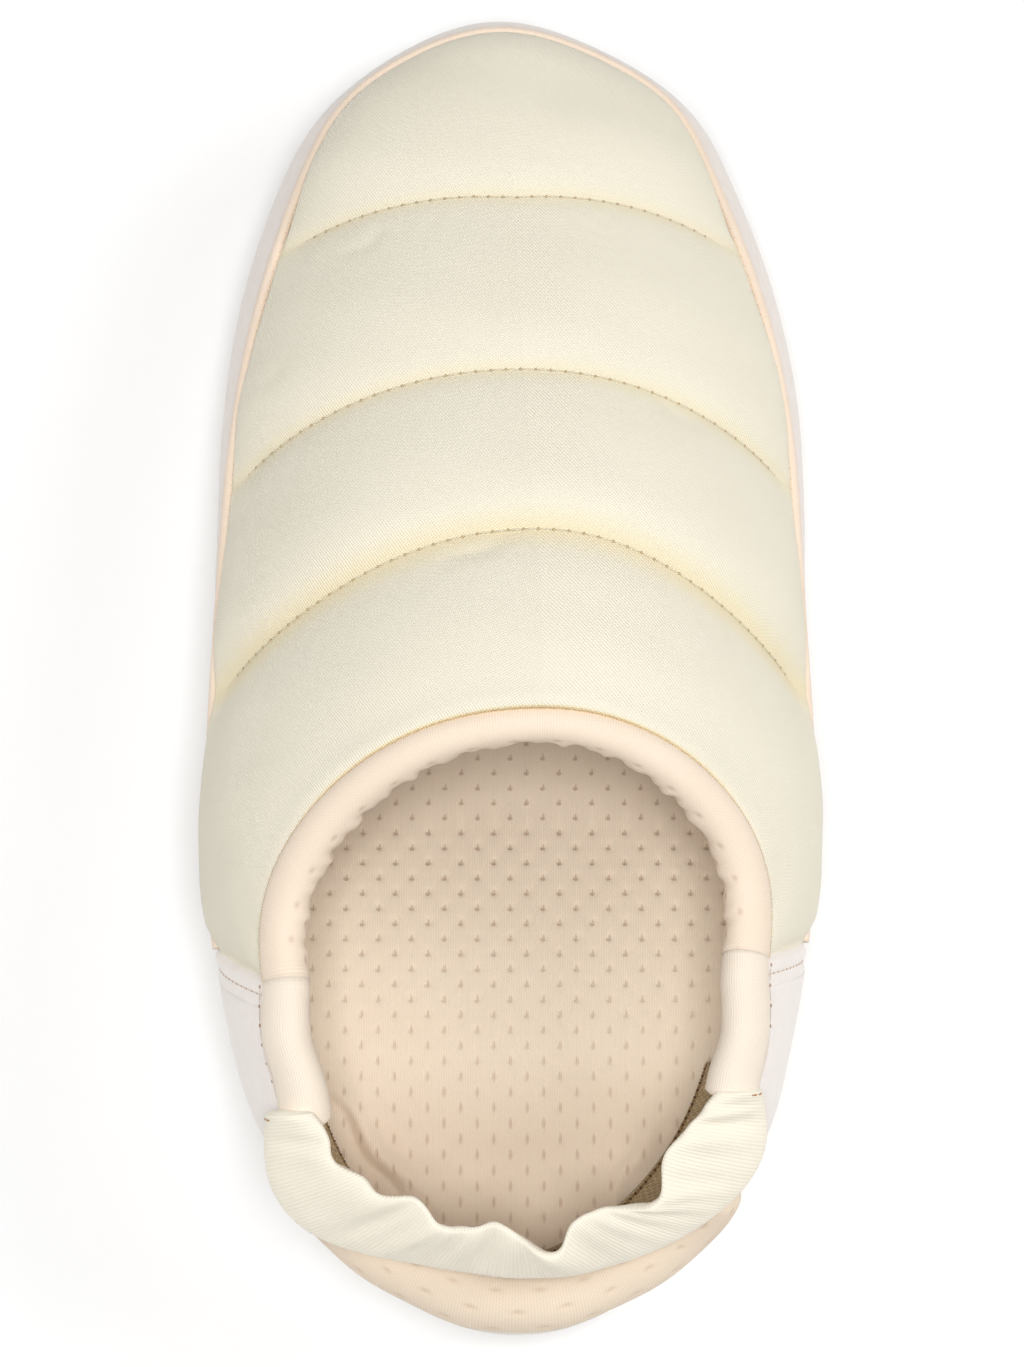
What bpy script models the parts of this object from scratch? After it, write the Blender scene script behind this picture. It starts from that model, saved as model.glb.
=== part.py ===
"""Right shoe of a pair: a quilted slip-on mule with a padded collar and a gathered heel sling.

Sizes are in millimetres. X points to the outer (lateral) side, Y to the toe and Z up; the shoe
stands on the floor Z = 0. Every soft piece is cut from one function of the last, form(), so
that walls, overlays and seams follow the same curves.
"""
import math

import bmesh
import bpy
import numpy as np

MM = 0.001

# Thicknesses of the sheets and the play between neighbouring pieces
WALL = 3.0
GAP = 0.3
RAND = 1.5
QUARTER = 1.2
BINDING = 1.9
PUFF = 4.0
PUFF_REACH = 22.0

# Last: the line where the upper meets the sole, heel at -Y and toe at +Y
LAST_LENGTH = 266.0
HALF = LAST_LENGTH / 2
HEEL_RADIUS = 31.0
TOE_RADIUS = 26.0

# station y, half width on the medial side, half width on the lateral side
FEATHER_LINE = (
    (-105.0, 37.0, 37.0),
    (-75.0, 46.0, 44.8),
    (-35.0, 49.8, 48.8),
    (0.0, 53.0, 52.0),
    (42.0, 55.2, 55.0),
    (77.0, 50.9, 50.7),
    (105.0, 40.9, 41.7),
    (120.0, 29.2, 30.6),
)

# station y, height of the upper's lower edge above the floor
FEATHER_HEIGHT = (
    (-134.0, 28.0), (-90.0, 26.5), (-35.0, 23.0), (15.0, 19.5), (60.0, 18.5), (100.0, 18.5), (134.0, 20.0),
)

# station y, height of the lining along the ridge (above the open heel only a guide for the sides)
RIDGE_HEIGHT = (
    (-134.0, 124.0), (-70.0, 106.0), (-30.0, 96.0), (7.0, 85.0), (42.0, 72.5), (77.0, 60.5),
    (105.0, 53.0), (120.0, 50.0), (134.0, 48.0),
)

# station y, sideways place of the plan axis
AXIS_X = ((-134.0, 0.9), (0.0, 0.0), (80.0, -0.6), (134.0, -2.6))

# station y, sideways place of the ridge
SPINE_X = ((-134.0, 0.9), (-30.0, 5.5), (20.0, 2.5), (90.0, 0.0), (134.0, -1.0))

# station y, squareness of the cross section (2 is an ellipse)
FULLNESS = ((-134.0, 2.0), (-75.0, 2.05), (0.0, 2.3), (45.0, 2.2), (90.0, 2.1), (134.0, 2.05))

# station y, how far the wall swells out above the sole
BULGE = (
    (-134.0, 0.5), (-105.0, 5.5), (-70.0, 8.0), (-25.0, 6.6),
    (10.0, 2.4), (45.0, 0.4), (75.0, 0.0), (134.0, 0.0),
)

# station y, how far a cross seam runs forward from the side to the ridge
ARCH = (
    (-134.0, 0.0), (-85.0, 0.0), (-65.0, 6.0), (-47.0, 17.0), (-14.0, 23.0), (27.5, 17.5), (75.5, 13.6),
    (100.0, 8.3), (134.0, 7.2),
)
TOE_SPINE = 84.0
HEEL_SPINE = -95.0
SPINE_SOFT = 10.0

# Quilting seams, the front of the throat and the foot of the bindings, as stations on the feather line
SEAMS = (75.5, 27.5, -14.0)
THROAT = -46.5
BINDING_FOOT = -58.0
BINDING_WIDTH = 6.0

# Throat on the lateral and the medial side: station of the collar joint, roundness across and along
JOINT = (-72.5, -76.0)
ROUND_ACROSS = (4.2, 3.2)
ROUND_ALONG = (3.0, 2.6)
JOINT_HEIGHT = 72.5
THROAT_SHARES = (0.997, 0.985, 0.96, 0.91, 0.83, 0.73, 0.61, 0.48, 0.33, 0.0)

# station y, height of the wall's top edge behind the collar joints
TOPLINE = ((-134.0, 43.0), (-116.0, 43.5), (-107.0, 54.0), (-99.0, 67.5), (-88.0, 70.0), (-76.0, 72.5))

# station y, height of the rand's top edge
RAND_TOP = (
    (-134.0, 41.0), (-60.0, 41.0), (0.0, 41.0), (45.0, 41.5),
    (80.0, 41.0), (105.0, 38.0), (120.0, 37.0), (134.0, 38.5),
)
PIPING_RADIUS = 1.1

# Padded rolls on the top edge, by place: -1 rear end, 0 joint, 1 middle of the throat;
# then half width across the wall, half height, lean to the outside and room left above the edge
COLLAR_ROLL = (
    (-1.0, 4.6, 5.2, 1.0, 0.6),
    (0.0, 4.3, 4.8, 1.0, 0.6),
    (0.5, 4.0, 3.9, 0.0, 1.1),
    (1.0, 3.8, 3.4, -1.2, 1.1),
)
RIM_ROLL = ((-1.0, 6.2, 6.0, 0.0, 0.9), (1.0, 6.2, 6.0, 0.0, 0.9))
COLLAR_SHARES = (0.985, 0.95, 0.9, 0.83, 0.74, 0.64, 0.53, 0.41, 0.28, 0.14, 0.0)
COLLAR_END = (-92.5, -94.7)
RIM_END = -105.5

# Sole: flat parts of the tread, rise at the heel edge and at the toe, arch between the flats
HEEL_BEVEL = 7.0
TOE_SPRING = 9.0
WAIST_RISE = 2.6
HEEL_FLAT = (-114.0, -62.0)
FORE_FLAT = (8.0, 70.0)
GROOVE_PITCH = 11.0
GROOVE_WIDTH = 2.6
GROOVE_DEPTH = 2.2

INSOLE = 4.4

# Heel sling: place along it, then x, y, z of its top edge and x, y, z of its bottom edge
SLING = (
    (0.00, 38.5, -97.5, 78.5, 46.5, -95.5, 72.0),
    (0.12, 32.5, -104.5, 78.5, 48.2, -105.0, 68.0),
    (0.26, 25.0, -113.5, 77.5, 42.5, -116.0, 64.5),
    (0.40, 13.5, -122.5, 76.5, 26.0, -126.0, 61.0),
    (0.52, 3.0, -125.5, 76.0, 5.0, -130.5, 59.5),
    (0.64, -10.5, -124.0, 76.5, -17.0, -128.0, 59.5),
    (0.76, -22.0, -118.5, 77.0, -36.5, -123.5, 62.5),
    (0.88, -31.0, -110.5, 78.0, -46.0, -113.0, 66.0),
    (1.00, -37.5, -101.5, 78.5, -46.0, -100.0, 71.5),
)
SLING_THICK = 4.6
SLING_FOLDS = 8
SLING_WAVE = 1.5

# Woven tape on the heel margin of the insole: place from the lateral to the medial end, width
TAPE_WIDTH = ((0.0, 5.6), (0.25, 9.5), (0.5, 9.0), (0.75, 6.2), (1.0, 5.6))
TAPE_THICK = 0.9
TAPE_END = -86.0


def natural_spline(table, column=1):
    """Smooth curve through a short table: a natural cubic spline, held level outside the table."""
    x = np.array([row[0] for row in table], float)
    y = np.array([row[column] for row in table], float)
    step = np.diff(x)
    slope = np.diff(y) / step
    system = np.eye(len(x))
    pull = np.zeros(len(x))
    for i in range(1, len(x) - 1):
        system[i, i - 1:i + 2] = step[i - 1], 2 * (step[i - 1] + step[i]), step[i]
        pull[i] = 6 * (slope[i] - slope[i - 1])
    bend = np.linalg.solve(system, pull)

    def curve(at):
        at = np.clip(at, x[0], x[-1])
        i = np.clip(np.searchsorted(x, at) - 1, 0, len(x) - 2)
        left, right, h = at - x[i], x[i + 1] - at, step[i]
        cubic = (bend[i] * right ** 3 + bend[i + 1] * left ** 3) / (6 * h)
        return cubic + (y[i] / h - bend[i] * h / 6) * right + (y[i + 1] / h - bend[i + 1] * h / 6) * left

    return curve


def width_curve(column):
    """Half width divided by the half width of a circle, so that the ends stay round."""
    rows = [(-HALF, math.sqrt(HEEL_RADIUS * HALF))]
    rows += [(row[0], row[column] / math.sqrt(1 - (row[0] / HALF) ** 2)) for row in FEATHER_LINE]
    rows += [(HALF, math.sqrt(TOE_RADIUS * HALF))]
    return natural_spline(rows)


medial_width = width_curve(1)
lateral_width = width_curve(2)
feather_height = natural_spline(FEATHER_HEIGHT)
ridge_height = natural_spline(RIDGE_HEIGHT)
axis_x = natural_spline(AXIS_X)
spine_x = natural_spline(SPINE_X)
fullness = natural_spline(FULLNESS)
bulge = natural_spline(BULGE)
arch = natural_spline(ARCH)
top_height = natural_spline(TOPLINE)
rand_height = natural_spline(RAND_TOP)


def theta_of(station):
    """Angle round the last, 0 at the heel and pi at the toe, of a station y on the feather line."""
    return np.arccos(np.clip(-np.asarray(station, float) / HALF, -1, 1))


def station_of(theta):
    return -HALF * np.cos(theta)


def feather(side, theta):
    """Feather line in plan; side is +1 lateral and -1 medial."""
    y = station_of(theta)
    width = np.where(side > 0, lateral_width(y), medial_width(y)) * np.sin(theta)
    return axis_x(y) + side * width, y


def feather_normal(side, theta):
    """Outward direction of the feather line in plan."""
    x1, y1 = feather(side, theta + 1e-4)
    x0, y0 = feather(side, theta - 1e-4)
    length = np.hypot(x1 - x0, y1 - y0)
    return side * (y1 - y0) / length, -side * (x1 - x0) / length


def spine_y(y):
    """Ridge station: follows y, and stops softly short of the toe and the heel."""
    y = TOE_SPINE - SPINE_SOFT * np.log1p(np.exp((TOE_SPINE - y) / SPINE_SOFT))
    return HEEL_SPINE + SPINE_SOFT * np.log1p(np.exp((y - HEEL_SPINE) / SPINE_SOFT))


def form(side, theta, phi, grow):
    """Point on the last pushed out by grow.

    theta runs round the feather line, phi from 0 at the feather line to a quarter turn on the
    ridge; a cross section is a superellipse from the feather line to the ridge that swells out
    above the sole and arches forward.
    """
    side, theta, phi, grow = np.broadcast_arrays(*[np.asarray(v, float) for v in (side, theta, phi, grow)])
    edge_x, edge_y = feather(side, theta)
    out_x, out_y = feather_normal(side, theta)
    power = 2 / fullness(edge_y)
    inward = np.clip(np.cos(phi), 0, 1) ** power
    rise = np.clip(np.sin(phi), 0, 1) ** power
    push = grow + bulge(edge_y) * np.sin(np.pi * rise ** 0.6)
    ridge_x, ridge_y = spine_x(edge_y), spine_y(edge_y)
    x = ridge_x + (edge_x + out_x * push - ridge_x) * inward
    y = ridge_y + (edge_y + out_y * push - ridge_y) * inward + arch(edge_y) * (1 - inward ** 2)
    low = feather_height(edge_y)
    z = low + (ridge_height(y) + grow - low) * rise
    return np.stack([x, y, z], -1)


def phi_at_height(side, theta, height):
    """Angle phi at which each wall column reaches a height."""
    phis = np.linspace(0, np.pi / 2, 181)
    found = []
    for s, t, h in zip(*np.broadcast_arrays(side, theta, height)):
        found.append(np.interp(h, np.maximum.accumulate(form(s, t, phis, WALL)[:, 2]), phis))
    return np.array(found)


JOINT_PHI = phi_at_height((1.0, -1.0), theta_of(JOINT), (JOINT_HEIGHT, JOINT_HEIGHT))


def by_side(side, pair):
    """The first of a pair of values on the lateral side, the second on the medial side."""
    return np.where(np.asarray(side) > 0, pair[0], pair[1])


def throat_share(side, station):
    """Way left to the ridge along the throat, a quarter of a superellipse: 1 at the joint, 0 on the ridge."""
    joint = by_side(side, JOINT)
    forward = np.clip((station - joint) / (THROAT - joint), 0, 1)
    return (1 - forward ** by_side(side, ROUND_ALONG)) ** (1 / by_side(side, ROUND_ACROSS))


def throat_station(side, share):
    """Station at which the throat has a share of its way left to the ridge."""
    joint = by_side(side, JOINT)
    forward = (1 - share ** by_side(side, ROUND_ACROSS)) ** (1 / by_side(side, ROUND_ALONG))
    return joint + (THROAT - joint) * forward


def topline_phi(side, theta):
    """Angle phi of the wall's top edge: low round the heel, up along the collar, then round the throat."""
    station = station_of(theta)
    rear = phi_at_height(side, theta, top_height(station))
    front = np.pi / 2 - (np.pi / 2 - by_side(side, JOINT_PHI)) * throat_share(side, station)
    return np.where(station <= by_side(side, JOINT), rear, front)


def rear_station(side, phi):
    """Station of the vamp's rear edge: up the binding to the joint, then round the throat."""
    corner = by_side(side, JOINT_PHI)
    lower = BINDING_FOOT + (by_side(side, JOINT) - BINDING_FOOT) * np.clip(phi / corner, 0, 1)
    share = np.clip((np.pi / 2 - phi) / (np.pi / 2 - corner), 0, 1)
    return np.where(phi < corner, lower, throat_station(side, share))


def rand_phi(side, theta):
    return phi_at_height(side, theta, rand_height(station_of(theta)))


def puff(side, theta, phi, low):
    """Thickness that the quilting adds: a round swell that falls to nothing at every seam."""
    station = station_of(theta)
    away = np.abs(station[..., None] - np.array(SEAMS)).min(-1)
    plain = 6.0 * np.clip((by_side(side, JOINT_PHI) + 0.12 - phi) / 0.15, 0, 1)
    away = np.minimum(away, station - rear_station(side, phi) - plain)
    away = np.minimum(0.9 * away, 55.0 * (phi - low) - 3.0)
    return PUFF * np.sqrt(1 - (1 - np.clip(away / PUFF_REACH, 0, 1)) ** 2)


def tread_height(station):
    """Height of the tread: level under heel and ball, hollow at the waist, turned up at both ends."""
    heel = HEEL_BEVEL * (max(HEEL_FLAT[0] - station, 0) / (HEEL_FLAT[0] + HALF)) ** 2
    toe = TOE_SPRING * (max(station - FORE_FLAT[1], 0) / (HALF - FORE_FLAT[1])) ** 2
    waist = (station - HEEL_FLAT[1]) / (FORE_FLAT[0] - HEEL_FLAT[1])
    return heel + toe + WAIST_RISE * math.sin(math.pi * min(max(waist, 0), 1)) ** 2


def heel_to_toe():
    """Stations of the wall's columns from heel to toe, closer together at the throat and the seams."""
    heel = station_of(np.linspace(0, theta_of(-99.0), 10))
    quarter = np.linspace(-99.0, min(JOINT), 5)[1:]
    throat = throat_station(1.0, np.array(THROAT_SHARES))
    stations = [heel, quarter, [max(JOINT)], throat]
    shares = np.array([0.07, 0.22, 0.4, 0.6, 0.78, 0.93, 1.0])
    for rear, front in ((THROAT, SEAMS[2]), (SEAMS[2], SEAMS[1]), (SEAMS[1], SEAMS[0])):
        stations.append(rear + (front - rear) * shares)
    toe = np.linspace(theta_of(SEAMS[0]), np.pi, 11)
    toe[1] = toe[0] + 0.4 * (toe[1] - toe[0])
    stations.append(station_of(toe[1:]))
    return np.concatenate(stations)


def walk(stations, start_side=1.0):
    """Side and angle along one side to the toe and back along the other, toe counted once."""
    theta = theta_of(stations)
    sides = np.concatenate([np.full(len(theta), start_side), np.full(len(theta) - 1, -start_side)])
    return sides, np.concatenate([theta, theta[-2::-1]])


def walk_heel(stations):
    """Side and angle along the lateral side to the heel and back along the medial side."""
    theta = theta_of(stations)
    sides = np.concatenate([np.ones(len(theta)), -np.ones(len(theta) - 1)])
    return sides, np.concatenate([theta[::-1], theta[1:]])


def new_object(name, mesh_builder):
    """One closed mesh object from points in millimetres."""
    mesh_builder.normal_update()
    bmesh.ops.remove_doubles(mesh_builder, verts=mesh_builder.verts, dist=1e-3)
    bmesh.ops.dissolve_degenerate(mesh_builder, edges=mesh_builder.edges, dist=1e-4)
    bmesh.ops.triangulate(mesh_builder, faces=mesh_builder.faces)
    bmesh.ops.recalc_face_normals(mesh_builder, faces=mesh_builder.faces)
    bmesh.ops.scale(mesh_builder, vec=(MM, MM, MM), verts=mesh_builder.verts)
    mesh = bpy.data.meshes.new(name)
    mesh_builder.to_mesh(mesh)
    mesh_builder.free()
    piece = bpy.data.objects.new(name, mesh)
    bpy.context.scene.collection.objects.link(piece)
    return piece


def slab(name, outer, inner, ring=False, open_top=None):
    """Solid between two grids of points (columns by rows) with its borders closed.

    ring joins the last column to the first; open_top says for each column whether its top edge
    is a free edge, where False means that the two sides of the sheet meet at the ridge.
    """
    builder = bmesh.new()
    columns, rows = outer.shape[:2]
    out = [[builder.verts.new(p) for p in column] for column in outer]
    inn = [[builder.verts.new(p) for p in column] for column in inner]
    for i in range(columns if ring else columns - 1):
        j = (i + 1) % columns
        for k in range(rows - 1):
            builder.faces.new((out[i][k], out[j][k], out[j][k + 1], out[i][k + 1]))
            builder.faces.new((inn[i][k], inn[i][k + 1], inn[j][k + 1], inn[j][k]))
        builder.faces.new((out[i][0], inn[i][0], inn[j][0], out[j][0]))
        if open_top is None or (open_top[i] and open_top[j]):
            builder.faces.new((out[i][-1], out[j][-1], inn[j][-1], inn[i][-1]))
    if not ring:
        for end in (0, -1):
            for k in range(rows - 1):
                builder.faces.new((out[end][k], out[end][k + 1], inn[end][k + 1], inn[end][k]))
    return new_object(name, builder)


def loft(name, rings):
    """Solid through a row of closed rings with a flat cap at each end."""
    builder = bmesh.new()
    loops = [[builder.verts.new(p) for p in ring] for ring in rings]
    count = len(loops[0])
    for a, b in zip(loops, loops[1:]):
        for k in range(count):
            builder.faces.new((a[k], a[(k + 1) % count], b[(k + 1) % count], b[k]))
    builder.faces.new(loops[0])
    builder.faces.new(loops[-1])
    return new_object(name, builder)


def make_upper(stations):
    """Hollow upper: one wall from the sole to the top edge, closed over the foot in front of the throat."""
    theta = theta_of(stations)
    theta = np.concatenate([theta, theta[-2:0:-1]])
    side = np.concatenate([np.ones(len(stations)), -np.ones(len(stations) - 2)])
    top = topline_phi(side, theta)
    low = np.minimum(rand_phi(side, theta), 0.5 * top)
    clear = np.minimum(low + 3.2 / 55.0, 0.62 * top)
    shares = np.array([0.0, 0.16, 0.36, 0.6, 0.82, 1.0])
    phi = np.column_stack([0 * top, 0.4 * low, low] + [clear + (top - clear) * s for s in shares])
    side2, theta2 = side[:, None], theta[:, None]
    swell = puff(side2, theta2 + 0 * phi, phi, low[:, None])
    outer = form(side2, theta2, phi, WALL + swell)
    inner = form(side2, theta2, phi, 0.0)
    free = station_of(theta) <= THROAT + 1e-6
    return slab("upper", outer, inner, ring=True, open_top=free)


def rand_columns(stations, rows):
    """Side, angle and phi of the rand's grid; its two ends follow the slant of the bindings."""
    side, theta = walk(np.concatenate([[BINDING_FOOT - 4.0], stations[stations > BINDING_FOOT + 2.0]]))
    phi = rand_phi(side, theta)[:, None] * np.asarray(rows)
    theta = np.repeat(theta[:, None], len(rows), 1)
    for end in (0, -1):
        theta[end] = theta_of(rear_station(side[end], phi[end]) + 0.5)
    return side[:, None], theta, phi


def make_rand(stations):
    """Mudguard round toe and sides, on the lower part of the wall."""
    side, theta, phi = rand_columns(stations, (0.0, 0.4, 1.0))
    return slab("rand", form(side, theta, phi, WALL + GAP + RAND), form(side, theta, phi, WALL + GAP))


def make_piping(stations):
    """Rolled cord along the rand's top edge."""
    side, theta, phi = [np.ravel(v) for v in rand_columns(stations, (1.0,))]
    reach = WALL + 2 * GAP + PIPING_RADIUS
    edge = form(side, theta, phi, reach)
    up = form(side, theta, phi + 0.02, reach) - edge
    outside = form(side, theta, phi, reach + 5.0) - edge
    along = np.gradient(edge, axis=0)
    along /= np.linalg.norm(along, axis=1)[:, None]
    outside -= along * (outside * along).sum(1)[:, None]
    outside /= np.linalg.norm(outside, axis=1)[:, None]
    up -= along * (up * along).sum(1)[:, None]
    up -= outside * (up * outside).sum(1)[:, None]
    up /= np.linalg.norm(up, axis=1)[:, None]
    centre = edge + up * (PIPING_RADIUS + GAP)
    turns = (np.arange(6) * np.pi / 3)[None, :, None]
    rings = centre[:, None] + PIPING_RADIUS * (np.cos(turns) * outside[:, None] + np.sin(turns) * up[:, None])
    return loft("rand_piping", rings)


def make_quarter():
    """Rear side panels, one sheet from binding to binding round the heel."""
    shares = np.concatenate([np.linspace(1, 0, 19), np.linspace(0, 1, 19)[1:]])
    side = np.concatenate([np.ones(19), -np.ones(18)])
    under, over = np.array([0, 0.4, 1, 1, 1, 1]), np.array([0, 0, 0, 0.3, 0.65, 1])
    outer, inner = [], []
    for s, share in zip(side, shares):
        sides = np.full(6, s)
        theta = np.full(6, theta_of(BINDING_FOOT - 8.0) * share)
        for turn in range(4):
            top = topline_phi(sides, theta)
            low = np.minimum(rand_phi(sides, theta), 0.5 * top)
            phi = low * under + (0.97 * top - low) * over
            front = rear_station(sides, phi) - BINDING_WIDTH - GAP
            theta = theta_of(front) * share
        outer.append(form(s, theta, phi, WALL + 0.5 + QUARTER))
        inner.append(form(s, theta, phi, WALL + 0.5))
    return slab("quarter", np.array(outer), np.array(inner))


def make_binding(name, side):
    """Folded strip between the vamp and the quarter, slanting back from the sole to the collar joint."""
    low = rand_phi([side], theta_of([BINDING_FOOT]))[0]
    high = 0.95 * float(by_side(side, JOINT_PHI))
    phi = np.array([0.0, 0.4 * low, low, low + 0.33 * (high - low), low + 0.67 * (high - low), high])
    outer, inner = [], []
    for back in (0.0, 0.5, 1.0):
        theta = theta_of(rear_station(side, phi) - back * BINDING_WIDTH)
        crown = BINDING if back == 0.5 else BINDING - 0.5
        outer.append(form(side, theta, phi, WALL + 0.5 + crown))
        inner.append(form(side, theta, phi, WALL + 0.5))
    return slab(name, np.array(outer), np.array(inner))


def roll_shape(side, theta, table):
    """Half width, half height, lean and room of a roll at each angle, from its table by place on the edge."""
    station = station_of(theta)
    joint = by_side(side, JOINT)
    end = by_side(side, COLLAR_END)
    place = 1 - throat_share(side, station) - np.clip((joint - station) / (joint - end), 0, 1)
    return [natural_spline(table, column)(place)[:, None] for column in (1, 2, 3, 4)]


def roll(side, theta, table):
    """Rings of a padded roll along the wall's top edge, an ellipse across a path of points on the edge."""
    half_across, half_up, lean, room = roll_shape(side, theta, table)
    top = topline_phi(side, theta)
    edge = form(side, theta, top, WALL / 2)
    outward = form(side, theta, top, WALL) - form(side, theta, top, 0.0)
    below = form(side, theta, top - 0.03, WALL / 2)
    along = np.gradient(edge, axis=0)
    along /= np.linalg.norm(along, axis=1)[:, None]
    outward -= along * (outward * along).sum(1)[:, None]
    outward /= np.linalg.norm(outward, axis=1)[:, None]
    up = np.cross(outward, along)
    up *= np.sign((up[0] * (edge[0] - below[0])).sum())
    centre = edge + up * (half_up + room) + outward * lean
    turns = np.arange(9) * np.pi / 4.5
    across = (half_across * np.cos(turns))[..., None] * outward[:, None]
    return centre[:, None] + across + (half_up * np.sin(turns))[..., None] * up[:, None]


def make_collar():
    """Padded collar in three lengths: a mesh-covered front and a ribbed rear on each side."""
    lengths = []
    for s, joint, end in zip((1.0, -1.0), JOINT, COLLAR_END):
        rear = np.linspace(end, joint, 8)
        lengths.append(np.concatenate([rear, throat_station(s, np.array(COLLAR_SHARES))]))
    lateral, medial = lengths
    side = np.concatenate([np.ones(len(lateral)), -np.ones(len(medial) - 1)])
    rings = roll(side, theta_of(np.concatenate([lateral, medial[-2::-1]])), COLLAR_ROLL)
    first, last = 7, len(rings) - 8
    middle = rings[first:last + 1].copy()
    middle[0] += 0.1 * (rings[first + 1] - rings[first])
    middle[-1] += 0.1 * (rings[last - 1] - rings[last])
    return [
        loft("collar_front", middle),
        loft("collar_rear_lateral", rings[:first + 1]),
        loft("collar_rear_medial", rings[last:]),
    ]


def make_heel_rim():
    """Low padded lip round the heel, under the sling."""
    theta = np.linspace(0, theta_of(RIM_END), 15)
    side, theta = walk_heel(station_of(theta))
    return loft("heel_rim", roll(side, theta, RIM_ROLL))


def make_sling():
    """Gathered band round the heel, a flat tube with folds that open towards its top edge."""
    along = np.linspace(0, 1, SLING_FOLDS * 6 + 1)
    top = np.stack([natural_spline(SLING, c)(along) for c in (1, 2, 3)], -1)
    low = np.stack([natural_spline(SLING, c)(along) for c in (4, 5, 6)], -1)
    fade = np.sin(np.pi * along) ** 0.5
    fold = np.sin(2 * np.pi * SLING_FOLDS * along) * fade
    top[:, 2] += 1.0 * np.sin(2 * np.pi * SLING_FOLDS * along + 1.2) * fade
    normal = np.cross(np.gradient((top + low) / 2, axis=0), top - low)
    normal /= np.linalg.norm(normal, axis=1)[:, None]
    across = np.array([0.0, 0.14, 0.4, 0.7, 0.92, 1.0, 0.92, 0.7, 0.4, 0.14])
    face = np.array([0, 1, 1, 1, 1, 0, -1, -1, -1, -1])
    half = 0.5 * SLING_THICK * face * np.sqrt(np.clip(4 * across * (1 - across), 0, 1)) ** 0.7
    rings = []
    for t, b, n, f in zip(top, low, normal, fold):
        push = half + SLING_WAVE * f * (0.3 + 0.7 * across)
        rings.append(b + (t - b) * across[:, None] + n * push[:, None])
    return loft("heel_sling", rings)


def tread_stations():
    """Stations along the sole with the two edges of every cross groove, and the groove depth there."""
    plain = station_of(np.linspace(np.radians(6), np.pi - np.radians(6), 34))
    rows = [(y, 0.0) for y in plain]
    for rear, front in (HEEL_FLAT, FORE_FLAT):
        count = int((front - rear) // GROOVE_PITCH)
        for i in range(count):
            middle = rear + (front - rear) * (i + 0.5) / count
            edge = GROOVE_WIDTH / 2
            rows = [row for row in rows if abs(row[0] - middle) > edge + 0.8]
            rows += [(middle - edge - 0.3, 0.0), (middle - edge, GROOVE_DEPTH),
                     (middle + edge, GROOVE_DEPTH), (middle + edge + 0.3, 0.0)]
    return sorted(rows)


def make_sole():
    """One moulded sole: tread with cross grooves, rounded side with a step, seat for the upper on top."""
    rings = []
    for station, groove in tread_stations():
        theta = theta_of(station)
        seat = float(feather_height(station)) - GAP
        ring = []
        deep = tread_height(station)
        low = deep + groove
        for side in (1.0, -1.0):
            def at(grow, height):
                x, y = feather(side, theta)
                out_x, out_y = feather_normal(side, theta)
                return (float(x + out_x * grow), float(y + out_y * grow), height)
            half = [at(-18.0, low), at(-1.5, low), at(2.6, max(low, deep + 2.0)),
                    at(4.3, deep + 0.36 * (seat - deep)), at(3.6, deep + 0.5 * (seat - deep)),
                    at(4.8, deep + 0.62 * (seat - deep)), at(4.6, seat), at(-0.5, seat)]
            ring += half if side > 0 else half[::-1]
        rings.append(ring)
    return loft("sole", rings)


def make_insole():
    """Padded footbed, dished along the middle and turned up at its edge to follow the wall."""
    rings = []
    for theta in np.linspace(np.radians(7), np.pi - np.radians(7), 36):
        station = float(station_of(theta))
        seat = float(feather_height(station))
        edge = float(phi_at_height([1.0], [theta], [seat + INSOLE])[0])
        ring = []
        for side in (1.0, -1.0):
            foot = form(side, theta, 0.0, -1.0)
            lip = form(side, theta, edge, -2.6)
            dish = form(side, theta, 0.0, -12.0 * math.sin(theta) - 1.0)
            half = [(foot[0], foot[1], seat), (lip[0], lip[1], seat + INSOLE),
                    (dish[0], dish[1], seat + INSOLE - 1.4)]
            ring += half if side > 0 else half[::-1]
        rings.append(ring)
    return loft("insole", rings)


def make_tape():
    """Woven tape on the heel margin of the footbed, rising to the wall."""
    theta = np.linspace(0, theta_of(TAPE_END), 13)
    side, theta = walk_heel(station_of(theta))
    seat = feather_height(station_of(theta))
    width = natural_spline(TAPE_WIDTH)(np.linspace(0, 1, len(theta)))
    outer, inner = [], []
    for s, t, low, w in zip(side, theta, seat, width):
        high = float(phi_at_height([s], [t], [low + INSOLE + 6.0])[0])
        wall = form(s, t, high, -1.6)
        lip = form(s, t, 0.0, -3.6)
        inside = form(s, t, 0.0, -w)
        foot = np.array([inside[0], inside[1], low + INSOLE - 0.75])
        middle = np.array([lip[0], lip[1], low + INSOLE + 0.6])
        inner.append([foot, middle, wall])
        outer.append([p + np.array([0, 0, TAPE_THICK]) for p in (foot, middle, wall)])
    return slab("heel_tape", np.array(outer), np.array(inner))


def centre_on_floor(pieces):
    """Move the whole shoe so that its box stands centred on the origin, sole on the floor."""
    points = np.concatenate([[v.co[:] for v in piece.data.vertices] for piece in pieces])
    low, high = points.min(0), points.max(0)
    shift = np.array([-(low[0] + high[0]) / 2, -(low[1] + high[1]) / 2, -low[2]])
    for piece in pieces:
        for vertex in piece.data.vertices:
            vertex.co += type(vertex.co)(shift)
    print("shift in mm", np.round(shift / MM, 3), "size in mm", np.round((high - low) / MM, 1))


def main():
    for old in list(bpy.data.objects):
        bpy.data.objects.remove(old, do_unlink=True)
    stations = heel_to_toe()
    pieces = [
        make_sole(),
        make_upper(stations),
        make_insole(),
        make_rand(stations),
        make_piping(stations),
        make_quarter(),
        make_binding("binding_lateral", 1.0),
        make_binding("binding_medial", -1.0),
        *make_collar(),
        make_heel_rim(),
        make_sling(),
        make_tape(),
    ]
    centre_on_floor(pieces)


main()
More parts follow.
